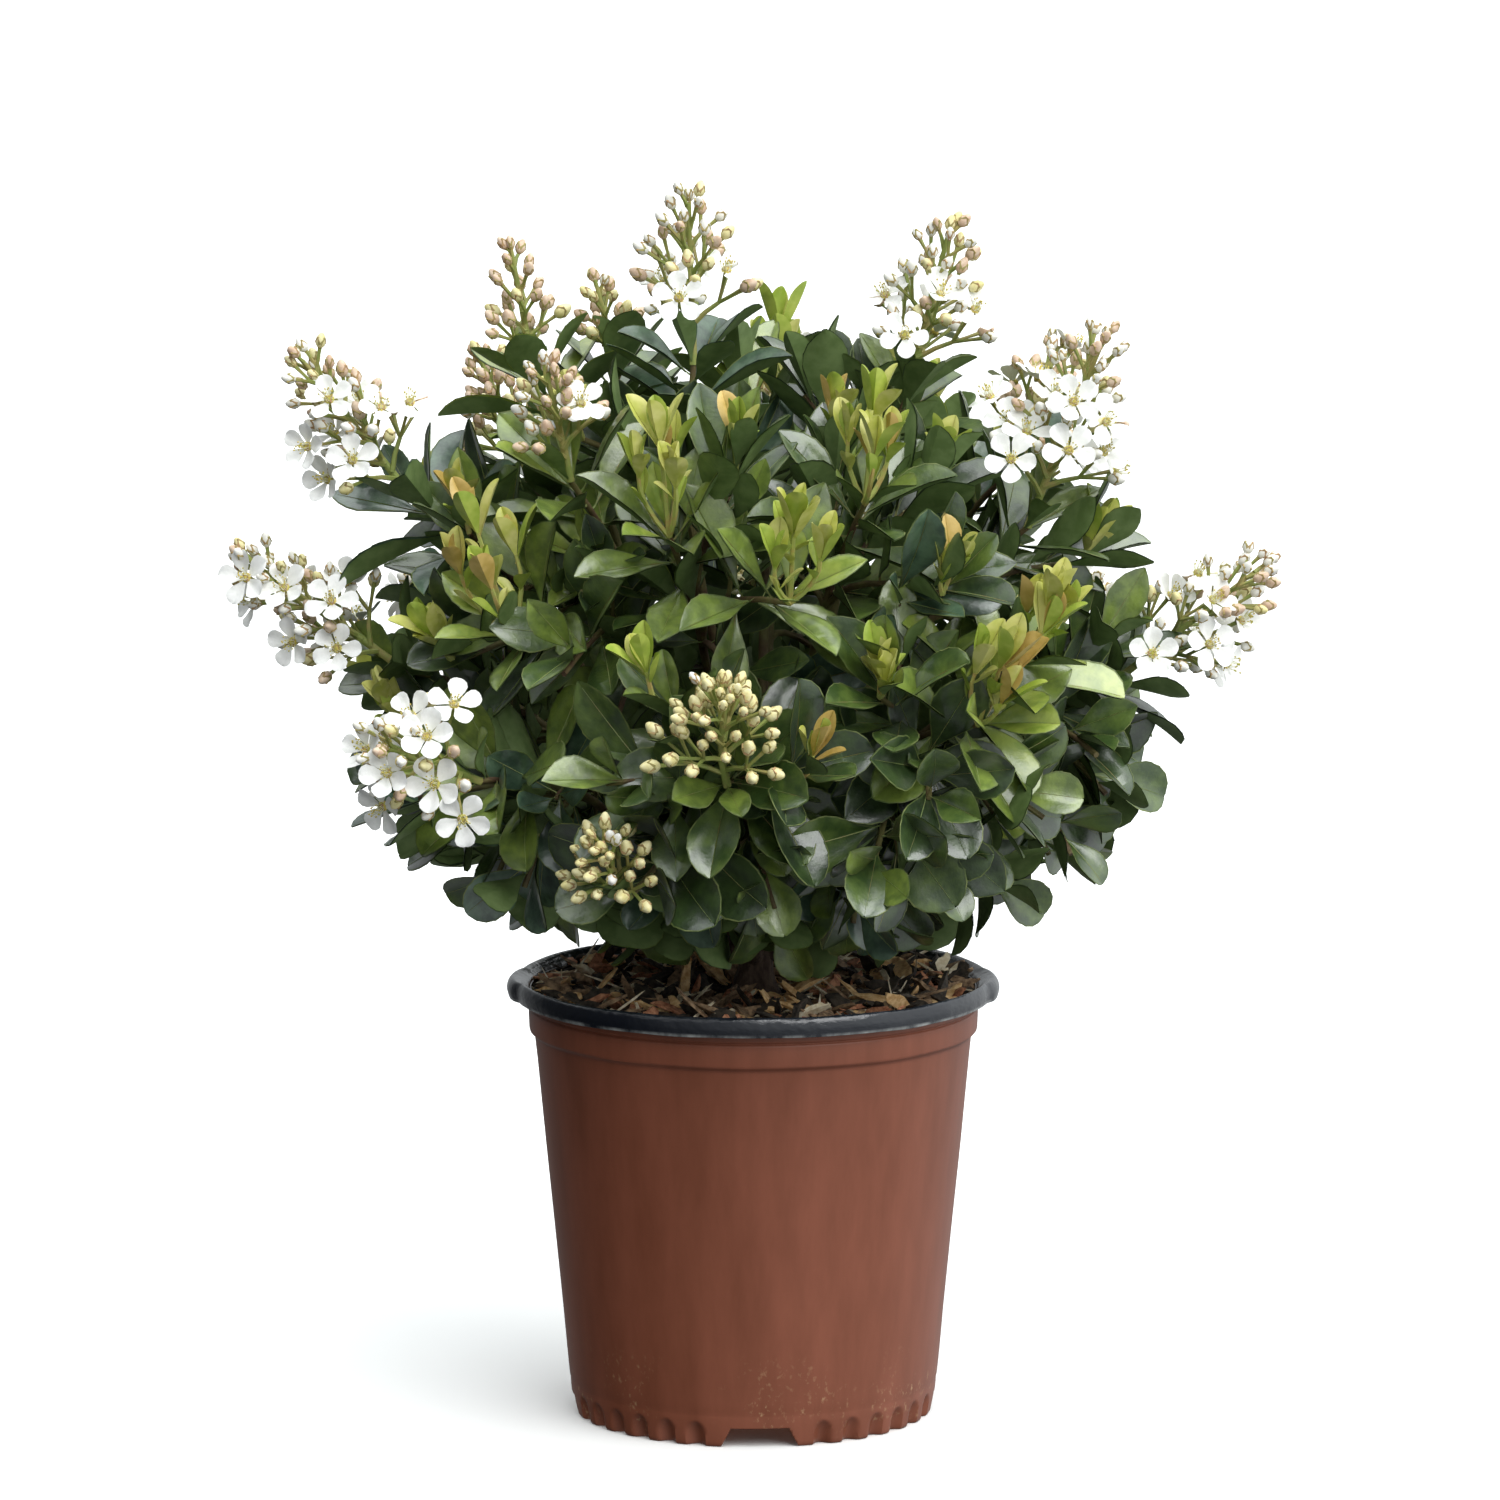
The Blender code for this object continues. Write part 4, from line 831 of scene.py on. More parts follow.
def leaf_shape(outline, fold, arch, curl, wave, twist):
    """A function from (side -1 to 1, row) to a place on a leaf of unit length and width."""
    rows = []
    y = z = angle = 0.0
    for i, (along, half) in enumerate(outline):
        if i:
            step = along - outline[i - 1][0]
            angle = curl * along**1.4
            y += step * math.cos(angle)
            z -= step * math.sin(angle)
        rows.append((y, z, half, angle, along))

    def at(side, row):
        y, z, half, angle, along = rows[row]
        x = side * half / 2
        up = fold * abs(x) + arch * half * (abs(side) - side * side) * 0.5
        up += wave * math.sin(along * 9 + side) * abs(side) * half
        turn = twist * along
        x, up = x * math.cos(turn) - up * math.sin(turn), x * math.sin(turn) + up * math.cos(turn)
        return Vector((x, y + up * math.sin(angle), z + up * math.cos(angle)))

    return at, len(rows)


def row_of(v, rows):
    """The row that a point of a fresh grid, 2 wide and 2 long, stands for."""
    return round((v.co.y + 1) / 2 * (rows - 1))


def blade(shape, columns, thickness):
    """A closed thin blade: a grid bent to the shape, and a plainer copy of it as the underside."""
    at, rows = shape
    bm = bmesh.new()
    bmesh.ops.create_grid(bm, x_segments=columns, y_segments=rows - 1, size=1.0)
    grid = {v: (v.co.x, row_of(v, rows)) for v in bm.verts}
    copy = bmesh.ops.duplicate(bm, geom=bm.verts[:] + bm.edges[:] + bm.faces[:])
    for v, (side, row) in grid.items():
        v.co = at(side, row)
    twins = [(a, b) for a, b in copy["vert_map"].items() if a in grid]
    for a, b in twins:
        side, row = grid[a]
        b.co = at(side, row)
        if abs(side) < 0.99 and 0 < row < rows - 1:
            b.co.z -= thickness
    under = [f for f in copy["geom"] if isinstance(f, bmesh.types.BMFace)]
    bmesh.ops.reverse_faces(bm, faces=under)
    inside = {b for a, b in twins if 0.01 < abs(grid[a][0]) < 0.99}
    edges = [e for e in copy["geom"] if isinstance(e, bmesh.types.BMEdge)]
    plain = [e for e in edges if e.verts[0] in inside and e.verts[1] in inside]
    bmesh.ops.dissolve_edges(bm, edges=plain, use_verts=True)
    bmesh.ops.remove_doubles(bm, verts=bm.verts, dist=0.0001)
    return arrays(bm)


def rib(shape, stalk, thick):
    """The leaf's stalk and midrib, as one thin tapering tube along its middle."""
    at, rows = shape
    line = [Vector((0, -stalk, stalk * 0.25)), Vector((0, -stalk * 0.4, stalk * 0.05))]
    line += [at(0, row) + Vector((0, 0, 0.005)) for row in (*range(0, rows - 3, 2), rows - 2)]
    falling = [1 - 0.80 * (i - 1) / (len(line) - 2) for i in range(2, len(line))]
    return tube(line, [thick * share for share in (1.25, 1.25, *falling)], 3)


def margin(shape, outline, wide):
    """The pale edge of a leaf: a narrow band just above its upper side, along its outline."""
    at, rows = shape
    bm = bmesh.new()
    for side in (-1, 1):
        made = bmesh.ops.create_grid(bm, x_segments=1, y_segments=rows - 1, size=1.0)
        for v in made["verts"]:
            row = row_of(v, rows)
            inner = max(0.0, 1 - wide / outline[row][1])
            share = side * (1.015 if v.co.x * side > 0 else inner)
            v.co = at(share, row) + Vector((0, 0, 0.0035))
    return arrays(bm)


def underside_skin(shape, thickness):
    """The underside of a blade: a plainer grid just below it, facing down."""
    at, rows = shape
    kept = (*range(0, rows - 1, 2), rows - 1)
    bm = bmesh.new()
    bmesh.ops.create_grid(bm, x_segments=2, y_segments=len(kept) - 1, size=1.0)
    for v in bm.verts:
        v.co = at(v.co.x * 0.985, kept[row_of(v, len(kept))]) - Vector((0, 0, thickness * 1.5))
    bmesh.ops.reverse_faces(bm, faces=bm.faces)
    return arrays(bm)


def leaf_place(root, along, face, length, width):
    """Placing matrix for a blade of unit length and width."""
    along = along.normalized()
    face = (face - along * face.dot(along)).normalized()
    return placing(root, along.cross(face) * width, along * length, face * length)


tints = list(LEAF_TINTS)
outlines = (SLIM_OUTLINE, BLUNT_OUTLINE) * 3
full_shapes = [leaf_shape(line, *form) for line, form in zip(outlines, LEAF_FORMS)]
leaf_places = {tint: [[] for _ in LEAF_FORMS] for tint in tints}
all_places = [[] for _ in LEAF_FORMS]


def leafy_end(twig, facing, tint, count, least, most, size, cover, broad, rng):
    """Clads the end of a twig in full leaves, youngest at its tip, each placed by tint and form. A
    leaf that would reach the pot is raised, or left off."""
    length = max(0.02, (twig[2] - twig[0]).length)
    spin = rng.uniform(0, math.tau)
    for k in range(count):
        age = (k + 0.5) / count
        back = min(0.75, cover * age**1.3 / length)
        root, below = bend(*twig, 1 - back), bend(*twig, 0.92 - back)
        axis = (facing * (1.3 - age) + (root - below).normalized() * age).normalized()
        lean = math.radians(least + (most - least) * age**0.8 + rng.uniform(-8, 8))
        along, face, _ = leaning(axis, spin + k * GOLDEN_TURN, lean)
        along = (along - Vector((0, 0, (0.10 if axis.z < 0.5 else 0.03) * age))).normalized()
        face = face + Vector((0, 0, 0.25)) + along.cross(face) * rng.uniform(-0.25, 0.25)
        grown = size * (0.64 + 0.42 * min(1.0, age * 2.2)) * rng.uniform(0.86, 1.08)
        blunt = rng.random() < 0.15 + 0.80 * broad
        form = 2 * rng.randrange(3) + int(blunt)
        long = LEAF_LENGTH * grown * (1 - 0.12 * broad)
        wide = LEAF_WIDTH * grown * rng.uniform(0.92, 1.06) * (0.96 + 0.40 * broad)
        for lift in RAISES:
            raised = (along + Vector((0, 0, lift))).normalized()
            end = root + raised * long * 1.08
            if end.z >= underside(end.x, end.y):
                break
        else:
            continue
        younger = tint != "blue_green" and age < YOUNGER_BEFORE
        own = tints[min(len(tints) - 1, tints.index(tint) + int(younger))]
        place = leaf_place(root + raised * long * LEAF_STALK, raised, face, long, wide)
        leaf_places[own][form].append(place)
        all_places[form].append(place)


rng = random.Random("leaves")
for n, (twig, facing, _, size, rank) in enumerate(shoots):
    beyond = twig[2] - CENTRE
    rise = math.degrees(math.asin(beyond.z / beyond.length))
    deep = beyond.length < reach_at(math.radians(rise)) * 0.8
    mix = LOW_MIX if rise < LOW_BELOW else MIDDLE_MIX if rise < MIDDLE_BELOW else UPPER_MIX
    # Shoots deep inside take the inside mix: the darker green of shade leaves, and darker tints as painted
    # shade.
    tint = rng.choices(tints, INSIDE_PAINTED_SHADE_MIX if deep else mix)[0]
    most = 80 - 36 * share_of(rise, 0, 50)
    broad = 1 - share_of(rise, -4, 34)
    if rank == 0:
        leafy_end(twig, facing, tint, 10, 28, 80, 1.0, 0.034, broad, rng)
    elif rank == 1:
        short = rng.choice((1.0, 0.94, 0.84))
        ended = (twig[0], twig[0].lerp(twig[1], short), bend(*twig, short))
        leafy_end(ended, facing, tint, 6 if deep else 8, 14, most, size, 0.036, broad, rng)
    elif n % 3:
        leafy_end(twig, facing, tint, 5, 20, most, size, 0.016, broad, rng)

flat = LEAF_THICKNESS / LEAF_LENGTH
full_blades = [blade(shape, BLADE_COLUMNS, flat) for shape in full_shapes]
for tint, (dark, light) in LEAF_TINTS.items():
    # A leathery evergreen leaf: a waxy skin that shines in soft broad patches over a slightly
    # mottled green with a fine grain.
    finish = mottled(
        f"evergreen_leaf_{tint}", dark, light, (85, 0.38, 0.64, 3.0),
        (0.22, 0.0004, 520, 0.3, 0.7, 3.0), Roughness=0.33, IOR=1.50,
        Specular_IOR_Level=0.85, Coat_Weight=0.80, Coat_Roughness=0.18,
    )
    piece = joined(f"leaves_{tint}", zip(full_blades, leaf_places[tint]), finish)
    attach(piece, "root")
    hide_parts(*FOLIAGE)

ribs = [rib(shape, LEAF_STALK, RIB_RADIUS) for shape in full_shapes]
margins = [margin(shape, line, MARGIN_WIDTH) for shape, line in zip(full_shapes, outlines)]
undersides = [underside_skin(shape, flat) for shape in full_shapes]
# Midribs and stalks: smooth and pale green, browner in places.
green_rib = mottled(
    "leaf_stalk_and_midrib", "93a566", "9c9062", (160, 0.45, 0.62), Roughness=0.45, IOR=1.45
)
# The thickened edge of the blade, a fraction of a millimetre wide: pale olive.
pale_margin = mottled(
    "leaf_margin_pale", "566637", "7c8650", (160, 0.40, 0.62), Roughness=0.45, IOR=1.45
)
# The underside: paler than the upper side, matt, without the waxy skin.
pale_back = mottled(
    "leaf_underside_pale", "5e7440", "758a55", (90, 0.38, 0.64), Roughness=0.55, IOR=1.45
)
for name, forms, finish in (
    ("leaf_ribs", ribs, green_rib), ("leaf_margins", margins, pale_margin),
    ("leaf_undersides", undersides, pale_back),
):
    piece = joined(name, zip(forms, all_places), finish)
    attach(piece, "root")
    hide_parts(*FOLIAGE)

# Young leaves. This year's soft growth stands upright above some rosettes: narrow, thin and
# glossy, lime green, with the newest leaves of each shoot flushed bronze.

YOUNG_LENGTH, YOUNG_WIDTH, YOUNG_THICKNESS = 0.031, 0.0118, 0.0003
YOUNG_STALK, YOUNG_RIB_RADIUS = 0.06, 0.011  # shares of the length
YOUNG_OUTLINE = (
    (0.00, 0.08), (0.12, 0.24), (0.27, 0.52), (0.43, 0.82), (0.58, 0.98), (0.70, 1.00), (0.81, 0.88),
    (0.90, 0.66), (0.96, 0.42), (1.00, 0.12),
)
YOUNG_FORMS = (
    (0.22, 0.16, -0.12, 0.008, 0.08), (0.28, 0.14, -0.26, 0.010, -0.10), (0.18, 0.18, 0.16, 0.010, 0.10),
)
YOUNG_TINTS = {
    "lime": ("90a63e", "b0bd58"), "yellow_green": ("b6bb54", "d6d384"), "bronze": ("b59a50", "d0b36e"),
}
YOUNG_STEM_RADII = (0.0015, 0.0013, 0.0012, 0.0011, 0.0009)
EXTRA_ABOVE, EXTRA_BEYOND, EXTRA_CHANCE, EXTRA_LENGTH = 0.33, 0.14, 0.52, 0.038
young_shapes = [leaf_shape(YOUNG_OUTLINE, *form) for form in YOUNG_FORMS]
young_places = {tint: [[] for _ in YOUNG_FORMS] for tint in YOUNG_TINTS}
young_rib_places = [[] for _ in YOUNG_FORMS]
green_stems = []


def young_stem(tip, way, up, length, size, warm, rng):
    """One soft stem that bends upwards, a cup of leaves at its tip and a few smaller ones below."""
    top = tip + way * length * 0.55 + up * length * 0.45
    stem = (tip, tip + way * length * 0.6, top)
    green_stems.append(limb(stem, YOUNG_STEM_RADII, 5))
    axis = (top - bend(*stem, 0.75)).normalized()
    spin = rng.uniform(0, math.tau)
    for k in range(6):
        low = k > 3
        root = bend(*stem, rng.uniform(0.35, 0.75)) if low else top - axis * 0.0012 * k
        lean = math.radians((rng.uniform(26, 48) if low else 8 + 8 * k) + rng.uniform(-4, 4))
        along, face, _ = leaning(axis, spin + k * GOLDEN_TURN, lean)
        grown = size * (rng.uniform(0.50, 0.75) if low else 0.80 + 0.07 * k) * rng.uniform(0.9, 1.08)
        mix = (1.0, 1.2, 0.1) if low else (0.7, 1.0, warm * (1.2 - 0.2 * k))
        tint = rng.choices(list(YOUNG_TINTS), mix)[0]
        form = rng.randrange(len(YOUNG_FORMS))
        wide = YOUNG_WIDTH * grown * rng.uniform(0.9, 1.15)
        place = leaf_place(root, along, face, YOUNG_LENGTH * grown, wide)
        young_places[tint][form].append(place)
        young_rib_places[form].append(place)


def young_end(tip, axis, length, stems, size, warm, rng):
    """A spray of soft stems from one node, the middle one tallest."""
    spin = rng.uniform(0, math.tau)
    for k in range(stems):
        lean = math.radians(rng.uniform(34, 50)) if k else 0.0
        way = leaning(axis, spin + k * math.tau / max(1, stems - 1), lean)[0]
        long = max(0.008, length - YOUNG_LENGTH * 0.8) * (rng.uniform(0.62, 0.92) if k else 1.0)
        young_stem(tip, way, axis, long, size * (rng.uniform(0.78, 0.95) if k else 1.0), warm, rng)


rng = random.Random("young leaves")
for twig, facing, shoot, _, rank in shoots:
    outer_top = twig[2].z > EXTRA_ABOVE and (twig[2] - CENTRE).length > EXTRA_BEYOND
    if shoot and shoot[3] == YOUNG:
        young_end(twig[2], pointing(shoot[0], shoot[5]), shoot[4] + 0.018, 4, 1.0, shoot[6], rng)
    elif rank == 1 and outer_top and rng.random() < EXTRA_CHANCE:
        axis = (facing + Vector((0, 0, 0.7))).normalized()
        young_end(twig[2], axis, EXTRA_LENGTH, rng.choice((1, 2, 2)), 0.90, rng.choice((0.0, 0.25)), rng)

thin = YOUNG_THICKNESS / YOUNG_LENGTH
young_blades = [blade(shape, BLADE_COLUMNS, thin) for shape in young_shapes]
for tint, (dark, light) in YOUNG_TINTS.items():
    # Soft new leaves: thinner and paler than the old ones, with a light even gloss.
    finish = mottled(
        f"soft_young_leaf_{tint}", dark, light, (110, 0.36, 0.66, 2.0),
        (0.15, 0.0003, 600, 0.3, 0.7, 3.0), Roughness=0.36, IOR=1.42, Coat_Weight=0.12,
        Coat_Roughness=0.25,
    )
    piece = joined(f"young_leaves_{tint}", zip(young_blades, young_places[tint]), finish)
    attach(piece, "root")
    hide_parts(*FOLIAGE)
# The soft stems and midribs of the new growth: pale green, a little tan in places.
young_green = mottled(
    "young_stalk_green", "a6ad5e", "b39a5e", (140, 0.45, 0.65), Roughness=0.45, IOR=1.42
)
young_ribs = [rib(shape, YOUNG_STALK, YOUNG_RIB_RADIUS) for shape in young_shapes]
young_stalks = joined(
    "young_ribs_and_stems", [*zip(young_ribs, young_rib_places), *green_stems], young_green
)
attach(young_stalks, "root")
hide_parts(*FOLIAGE)

# Blossom stalks. Each flowering shoot ends in a cone of branched stalks, longest at its foot, which
# grow out in a spiral. They are olive green, and tan in places.

HEAD_SPACING, FLOWER_SPACING, OPEN_BELOW = 0.0053, 0.0170, 0.78
SUNWARD = Vector((0.10, -0.85, 0.15))  # what turns the flowers of the front half forwards
MAIN_STALK_RADII = (0.0021, 0.0019, 0.0016, 0.0013, 0.0010)
blossom_stalks, flower_heads, bud_heads = [], [], []


def stalk(points, radii, sides=5):
    """One stalk of the blossom, grown in its place."""
    blossom_stalks.append((tube(points, radii, sides), STILL))


def panicle(tip, axis, length, open_flowers, spread, look, rng):
    """Stalks of one cone of blossom, with a place and a way for each open flower and each bud."""
    side = square_to(axis)[0]
    shares = (0, 0.25, 0.5, 0.75, 0.93)
    stalk([tip + axis * length * t + side * (0.0016 * math.sin(t * 5)) for t in shares], MAIN_STALK_RADII, 6)
    branches = max(7, round(length / HEAD_SPACING * (1.35 if look == "yellow" else 1.0)))
    heads = [(tip + axis * (length - 0.004), axis, 1.0)]
    for k in range(branches):
        share = (k + 0.4) / branches
        root = tip + axis * (length * (0.10 + 0.82 * share))
        turn = k * GOLDEN_TURN + rng.uniform(-0.2, 0.2)
        out = leaning(axis, turn, math.radians(56 - 28 * share))[0].normalized()
        reach = spread * (1 - 0.74 * share) * rng.uniform(0.88, 1.10)
        count = 4 if share < 0.35 else 3 if share < 0.68 else 2 if share < 0.88 else 1
        count = max(1, count - 1) if spread < 0.020 else count
        fork = root + out * reach * (0.55 if count > 1 else 1.0)
        thick = 0.0012 if count > 1 else 0.0010
        bow = root.lerp(fork, 0.5) + axis * 0.0008
        stalk([root, bow, fork], [thick * 1.2, thick, thick * 0.9])
        if count == 1:
            heads.append((fork, out, share))
            continue
        first = rng.uniform(0, math.tau)
        for j in range(count):
            way = leaning(out, first + j * math.tau / count, math.radians(30 if count < 4 else 38))[0]
            way = (way + axis * 0.30).normalized()
            head = fork + way * (reach * 0.36 + 0.0050) * rng.uniform(0.85, 1.15)
            stalk([fork, fork.lerp(head, 0.55), head], [0.0009, 0.0008, 0.0011])
            heads.append((head, way, share))
    opened = []
    sunward = SUNWARD if tip.y < 0 else Vector()
    order = sorted(heads, key=lambda h: h[2] + rng.uniform(-0.18, 0.18) - 0.22 * h[1].dot(sunward))
    for head, way, share in order:
        clear = all((head - other).length > FLOWER_SPACING for other in opened)
        if len(opened) < open_flowers and clear and share < OPEN_BELOW:
            opened.append(head)
            flower_heads.append((head + way * 0.0015, (way + axis * 0.15 + sunward).normalized()))
        else:
            bud_heads.append((head, way, share, look))


rng = random.Random("blossom")
for twig, _, shoot, _, _ in shoots:
    if shoot and shoot[3] != YOUNG:
        look = "opening" if shoot[3] == OPEN else "beige" if shoot[1] > 40 else "yellow"
        panicle(twig[2], pointing(shoot[0], shoot[5]), shoot[4], shoot[6], shoot[7], look, rng)

# Soft green stalks under a thin felt of hairs: matt olive, tan in places.
olive_stalk = mottled(
    "blossom_stalk_olive", "8b984f", "a89b60", (120, 0.42, 0.66), Roughness=0.55, IOR=1.42
)
stalk_piece = joined("blossom_stalks", blossom_stalks, olive_stalk)
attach(stalk_piece, "root")
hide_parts(*FOLIAGE)

# Flowers. Five white petals, 25 mm across, spread nearly flat from a small cup, round a brush of
# sixteen cream stamens with yellow tips.

PETAL_OUTLINE = (
    (0.00, 0.12), (0.22, 0.42), (0.46, 0.82), (0.68, 1.00), (0.86, 0.84), (0.96, 0.52), (1.00, 0.22),
)
PETALS, PETAL_LENGTH, PETAL_WIDTH, PETAL_KINDS = 5, 0.0118, 0.0094, 4
PETAL_ARCH, PETAL_WAVE, PETAL_THICKNESS = 0.25, 0.03, 0.018  # shares of the length
STAMENS, STAMEN_LENGTHS, STAMEN_BEND = 16, (0.0042, 0.0066), 0.62
CUP_RADIUS, CUP_HEIGHT, ANTHER_RADIUS, ANTHER_HEIGHT = 0.0026, 0.0015, 0.00042, 0.00060


def ball(around, up):
    """A round ball of radius 1 with so many sides around and up."""
    bm = bmesh.new()
    bmesh.ops.create_uvsphere(bm, u_segments=around, v_segments=up, radius=1.0)
    return bm


def stood(root, way, around, up):
    """Placing matrix that stands a form along a way, scaled so much around it and so much up."""
    side, over = square_to(way)
    return placing(root, side * around, over * around, way * up)


rng = random.Random("flowers")
petal_blades = []
for _ in range(PETAL_KINDS):
    cupped, curled = rng.uniform(0.15, 0.35), rng.uniform(-0.35, 0.25)
    shape = leaf_shape(PETAL_OUTLINE, cupped, PETAL_ARCH, curled, PETAL_WAVE, 0.0)
    petal_blades.append(blade(shape, BLADE_COLUMNS, PETAL_THICKNESS))
stamen = tube([(0, 0, 0), (0, 0.6, 0.28), (0, 1, STAMEN_BEND)], [0.035, 0.028, 0.024], 3)
petal_places = [[] for _ in petal_blades]
stamen_places, anther_places, cup_places = [], [], []
for head, way in flower_heads:
    spin, size = rng.uniform(0, math.tau), rng.uniform(0.92, 1.08)
    middle = head + way * 0.0012
    cup_places.append(stood(middle, way, CUP_RADIUS, CUP_HEIGHT))
    open_lean = rng.uniform(64, 82)
    for k in range(PETALS):
        turn = spin + k * math.tau / PETALS + rng.uniform(-0.06, 0.06)
        along, face, level = leaning(way, turn, math.radians(open_lean + rng.uniform(-7, 7)))
        face = face + along.cross(face) * rng.uniform(-0.12, 0.12)
        petal_places[rng.randrange(PETAL_KINDS)].append(
            leaf_place(middle + level * 0.0014, along, face, PETAL_LENGTH * size, PETAL_WIDTH * size)
        )
    for k in range(STAMENS):
        turn = spin + k * math.tau / STAMENS + rng.uniform(-0.12, 0.12)
        along, face, level = leaning(way, turn, math.radians(rng.uniform(22, 58)))
        long = rng.uniform(*STAMEN_LENGTHS)
        root = middle + level * 0.0012
        stamen_places.append(leaf_place(root, along, face, long, long))
        tip = root + along * long + face * (long * STAMEN_BEND)
        anther_places.append(stood(tip, way, ANTHER_RADIUS, ANTHER_HEIGHT))

# Thin white petals with a silky bloom, a touch greyer in places.
white_petal = mottled(
    "white_petal", "fafaf7", "eff0ec", (240, 0.40, 0.66), (0.15, 0.0003, 800, 0.3, 0.7, 3.0),
    Roughness=0.55, IOR=1.40, Sheen_Weight=0.15, Sheen_Roughness=0.5,
)
# Fine cream threads.
cream_stamen = mottled("cream_stamen", "e9e6cf", "d9dcb0", (300, 0.4, 0.6), Roughness=0.5, IOR=1.40)
# Pollen-covered tips and the cup between them: matt, straw yellow to olive.
yellow_anther = mottled("yellow_anther", "d3bd62", "b3ae52", (300, 0.4, 0.6), Roughness=0.7, IOR=1.40)
tips_and_cups = [(arrays(ball(5, 4)), anther_places), (arrays(ball(9, 6)), cup_places)]
for name, groups, finish in (
    ("petals", zip(petal_blades, petal_places), white_petal),
    ("stamens", [(stamen, stamen_places)], cream_stamen),
    ("anthers_and_cups", tips_and_cups, yellow_anther),
):
    piece = joined(name, groups, finish)
    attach(piece, "root")
    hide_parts(*FOLIAGE)

# Flower buds. Plump ovals about 8 mm long, cream to white before they open, each held by five short
# pointed sepals, beige with a pink flush.

BUD_RADIUS, BUD_STRETCH, SEPAL_HEIGHT = 0.0031, 1.46, 0.0036
FLOWER_SEPALS_RADIUS, FLOWER_SEPALS_HEIGHT = 0.0025, 0.0030
BUD_OUT, SEPALS_OUT, FLOWER_SEPALS_BACK = 0.0032, 0.0010, 0.0008
BUD_TINTS = {"white": ("f4f3ec", "e6e3d6"), "cream": ("f0e8b6", "dcd190"), "pinkish": ("e2ccb4", "cbab90")}
BUD_MIXES = {"opening": (54, 20, 26), "yellow": (4, 96, 0), "beige": (6, 34, 60)}  # shares of the tints
bud = ball(8, 7)
for v in bud.verts:
    v.co.xy *= 1.06 - 0.34 * ((v.co.z + 1) / 2) ** 1.6
bud = arrays(bud)
calyx = bmesh.new()
bmesh.ops.create_cone(calyx, cap_ends=True, segments=10, radius1=0.30, radius2=1.0, depth=1.0)
for v in calyx.verts:
    if v.co.z > 0:
        pointed = round(math.atan2(v.co.y, v.co.x) / (math.tau / 10)) % 2
        v.co.z += 0.62 if pointed else -0.18
        v.co.xy *= 0.92 if pointed else 1.0
calyx = arrays(calyx)
rng = random.Random("buds")
bud_places = {tint: [] for tint in BUD_TINTS}
calyx_places = []
for head, way, share, look in bud_heads:
    plump = BUD_RADIUS * (1.04 - 0.22 * share) * rng.uniform(0.84, 1.10)
    tint = rng.choices(list(bud_places), BUD_MIXES[look])[0]
    bud_places[tint].append(stood(head + way * BUD_OUT, way, plump, plump * BUD_STRETCH))
    calyx_places.append(stood(head + way * SEPALS_OUT, way, plump * 1.05, SEPAL_HEIGHT))
for head, way in flower_heads:
    back = head - way * FLOWER_SEPALS_BACK
    calyx_places.append(stood(back, way, FLOWER_SEPALS_RADIUS, FLOWER_SEPALS_HEIGHT))
for tint, (light, dark) in BUD_TINTS.items():
    # Furled petals: smooth and faintly waxy.
    finish = mottled(f"flower_bud_{tint}", light, dark, (260, 0.38, 0.64), Roughness=0.48, IOR=1.40)
    piece = joined(f"buds_{tint}", [(bud, bud_places[tint])], finish)
    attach(piece, "root")
    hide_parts(*FOLIAGE)
# Short sepals under a felt of hairs: matt beige with a pink flush.
felted = mottled("felted_sepal", "a59c60", "b6926c", (200, 0.40, 0.64), Roughness=0.75, IOR=1.40)
sepals = joined("sepals", [(calyx, calyx_places)], felted)
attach(sepals, "root")
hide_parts(*FOLIAGE)

# Studio. A white floor without an edge, a broad soft light overhead and from the right with one soft
# sun, and a long lens at the height of the photograph's. The photograph is a cut-out whose shade stays
# deep on the left and under the leaves, so the floor throws no light back up.

CAMERA_PLACE, CAMERA_DOWN, LENS = (-0.0016, -3.8, 0.9008), 8.70, 193.94
SUN_WAY, SUN_POWER, SUN_SPREAD = (-0.56, 0.72, -0.90), 2.0, 50

floor = bmesh.new()
bmesh.ops.create_grid(floor, x_segments=1, y_segments=1, size=30.0)
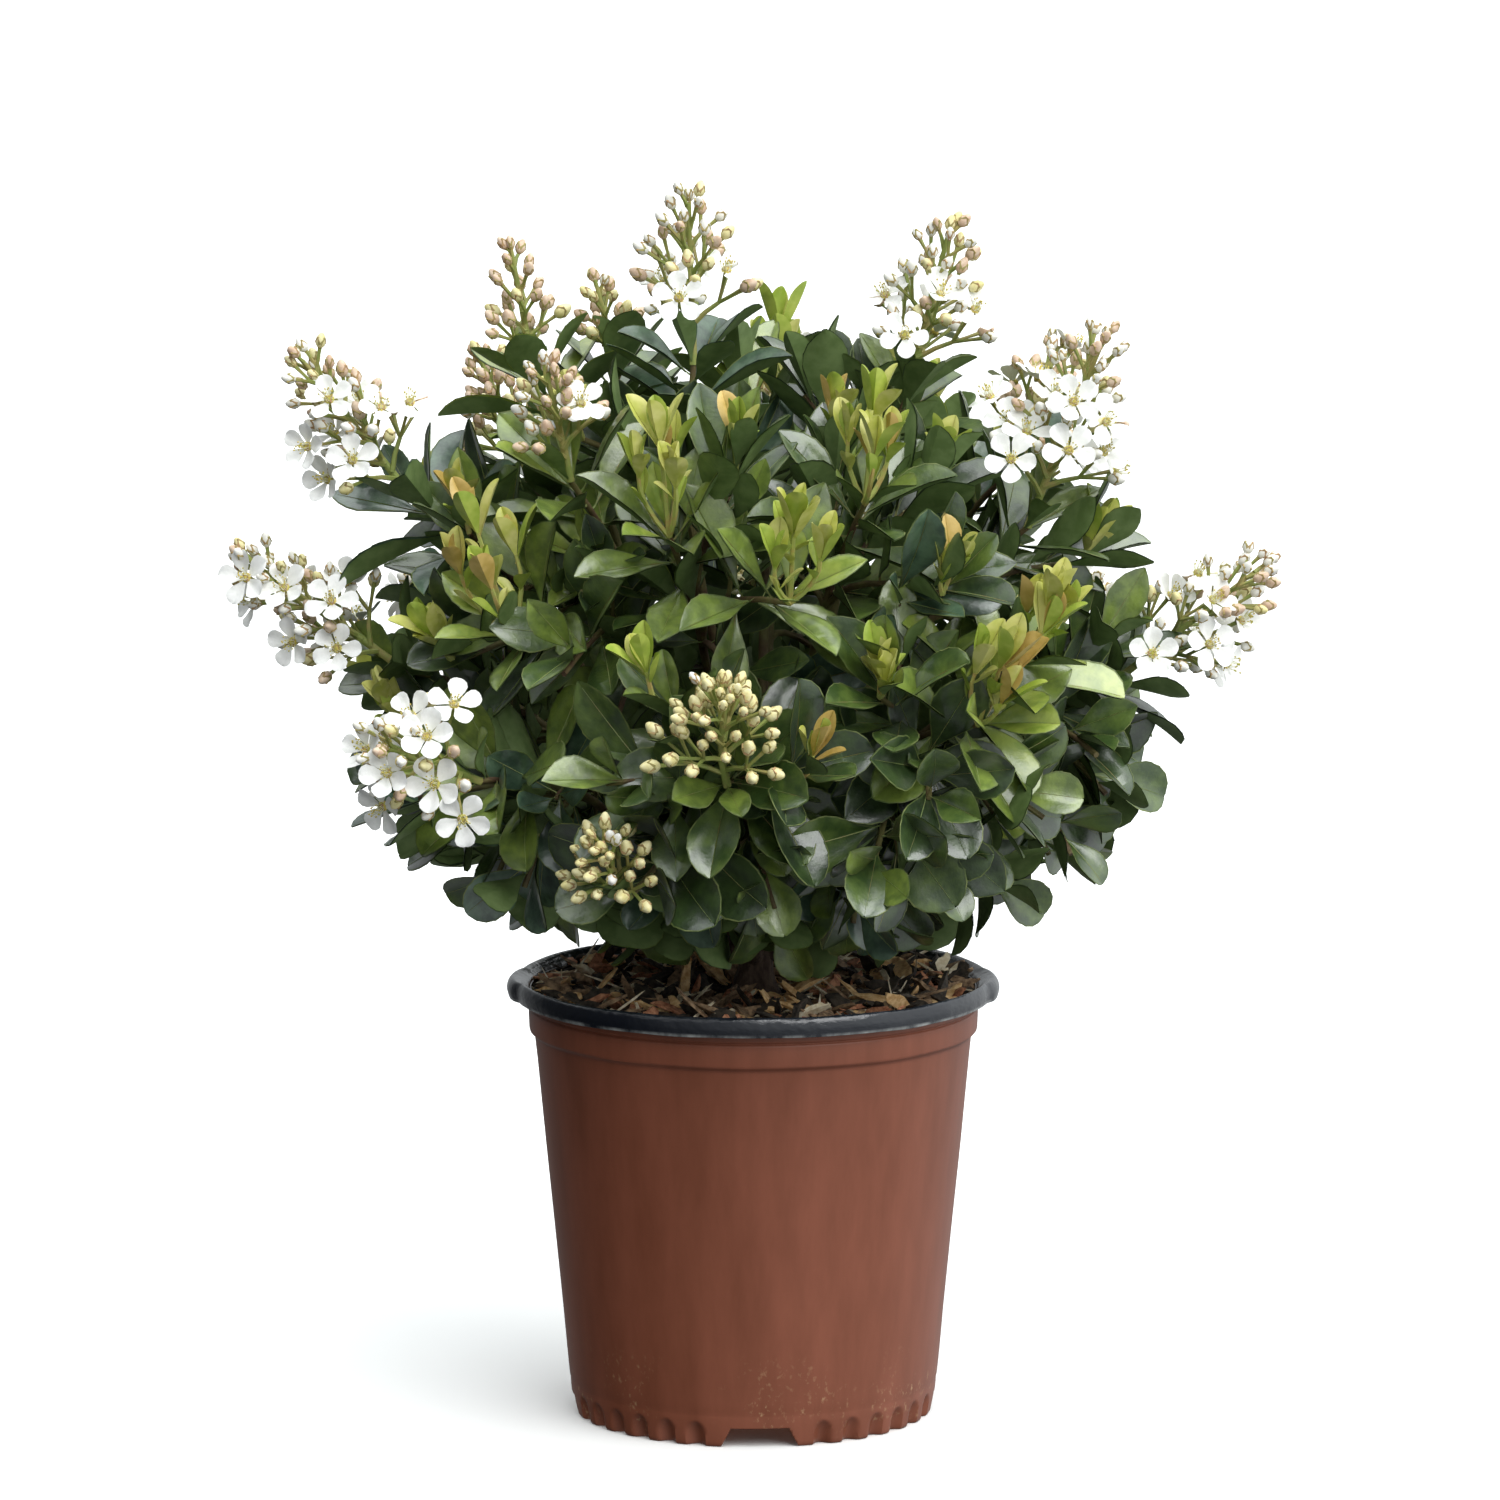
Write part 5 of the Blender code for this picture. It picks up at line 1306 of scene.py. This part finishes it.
# Seamless studio paper: matt and white, with no pattern that shows at this distance.
floor_paper, shader, place = surface("white_paper", Roughness=0.9, IOR=1.45)
shader.inputs["Base Color"].default_value = shade("fafaf8")
floor = stand("studio_floor", floor, floor_paper)
floor.location.z = -0.0002
floor.visible_diffuse = floor.visible_glossy = False

world = bpy.data.worlds.new("soft_surround")
bpy.context.scene.world = world
world.use_nodes = True
sky = world.node_tree
sky.nodes["Background"].inputs["Color"].default_value = (0.94, 0.98, 1.0, 1.0)
toward = node(sky, "ShaderNodeTexCoord", {}).outputs["Generated"]
way = node(sky, "ShaderNodeSeparateXYZ", {"Vector": toward}).outputs
right = {"Value": way["X"], "From Min": -0.9, "From Max": 0.9, "To Min": 0.06, "To Max": 1.12}
from_right = node(sky, "ShaderNodeMapRange", right).outputs["Result"]
high = {"Value": way["Z"], "From Min": 0.40, "From Max": 0.95}
overhead = node(sky, "ShaderNodeMapRange", high).outputs["Result"]
both = {"Value": overhead, "To Min": from_right, "To Max": 2.1}
above = node(sky, "ShaderNodeMapRange", both).outputs["Result"]
low = {"Value": way["Z"], "From Min": -0.5, "From Max": 0.05, "To Min": 0.45}
below = node(sky, "ShaderNodeMapRange", low).outputs["Result"]
strength = node(sky, "ShaderNodeMath", {0: above, 1: below}, operation="MULTIPLY").outputs[0]
sky.links.new(strength, sky.nodes["Background"].inputs["Strength"])

sun = bpy.data.lights.new("key_light", "SUN")
sun.energy, sun.angle = SUN_POWER, math.radians(SUN_SPREAD)
lamp = bpy.data.objects.new("key_light", sun)
lamp.rotation_euler = Vector(SUN_WAY).to_track_quat("-Z", "Y").to_euler()
bpy.context.scene.collection.objects.link(lamp)

lens = bpy.data.cameras.new("camera")
lens.lens, lens.sensor_width = LENS, 36.0
lens.clip_end = 100.0
camera = bpy.data.objects.new("camera", lens)
camera.location = CAMERA_PLACE
camera.rotation_euler = (math.radians(90 - CAMERA_DOWN), 0, 0)
bpy.context.scene.collection.objects.link(camera)
bpy.context.scene.camera = camera
bpy.context.scene.view_settings.view_transform = "Standard"
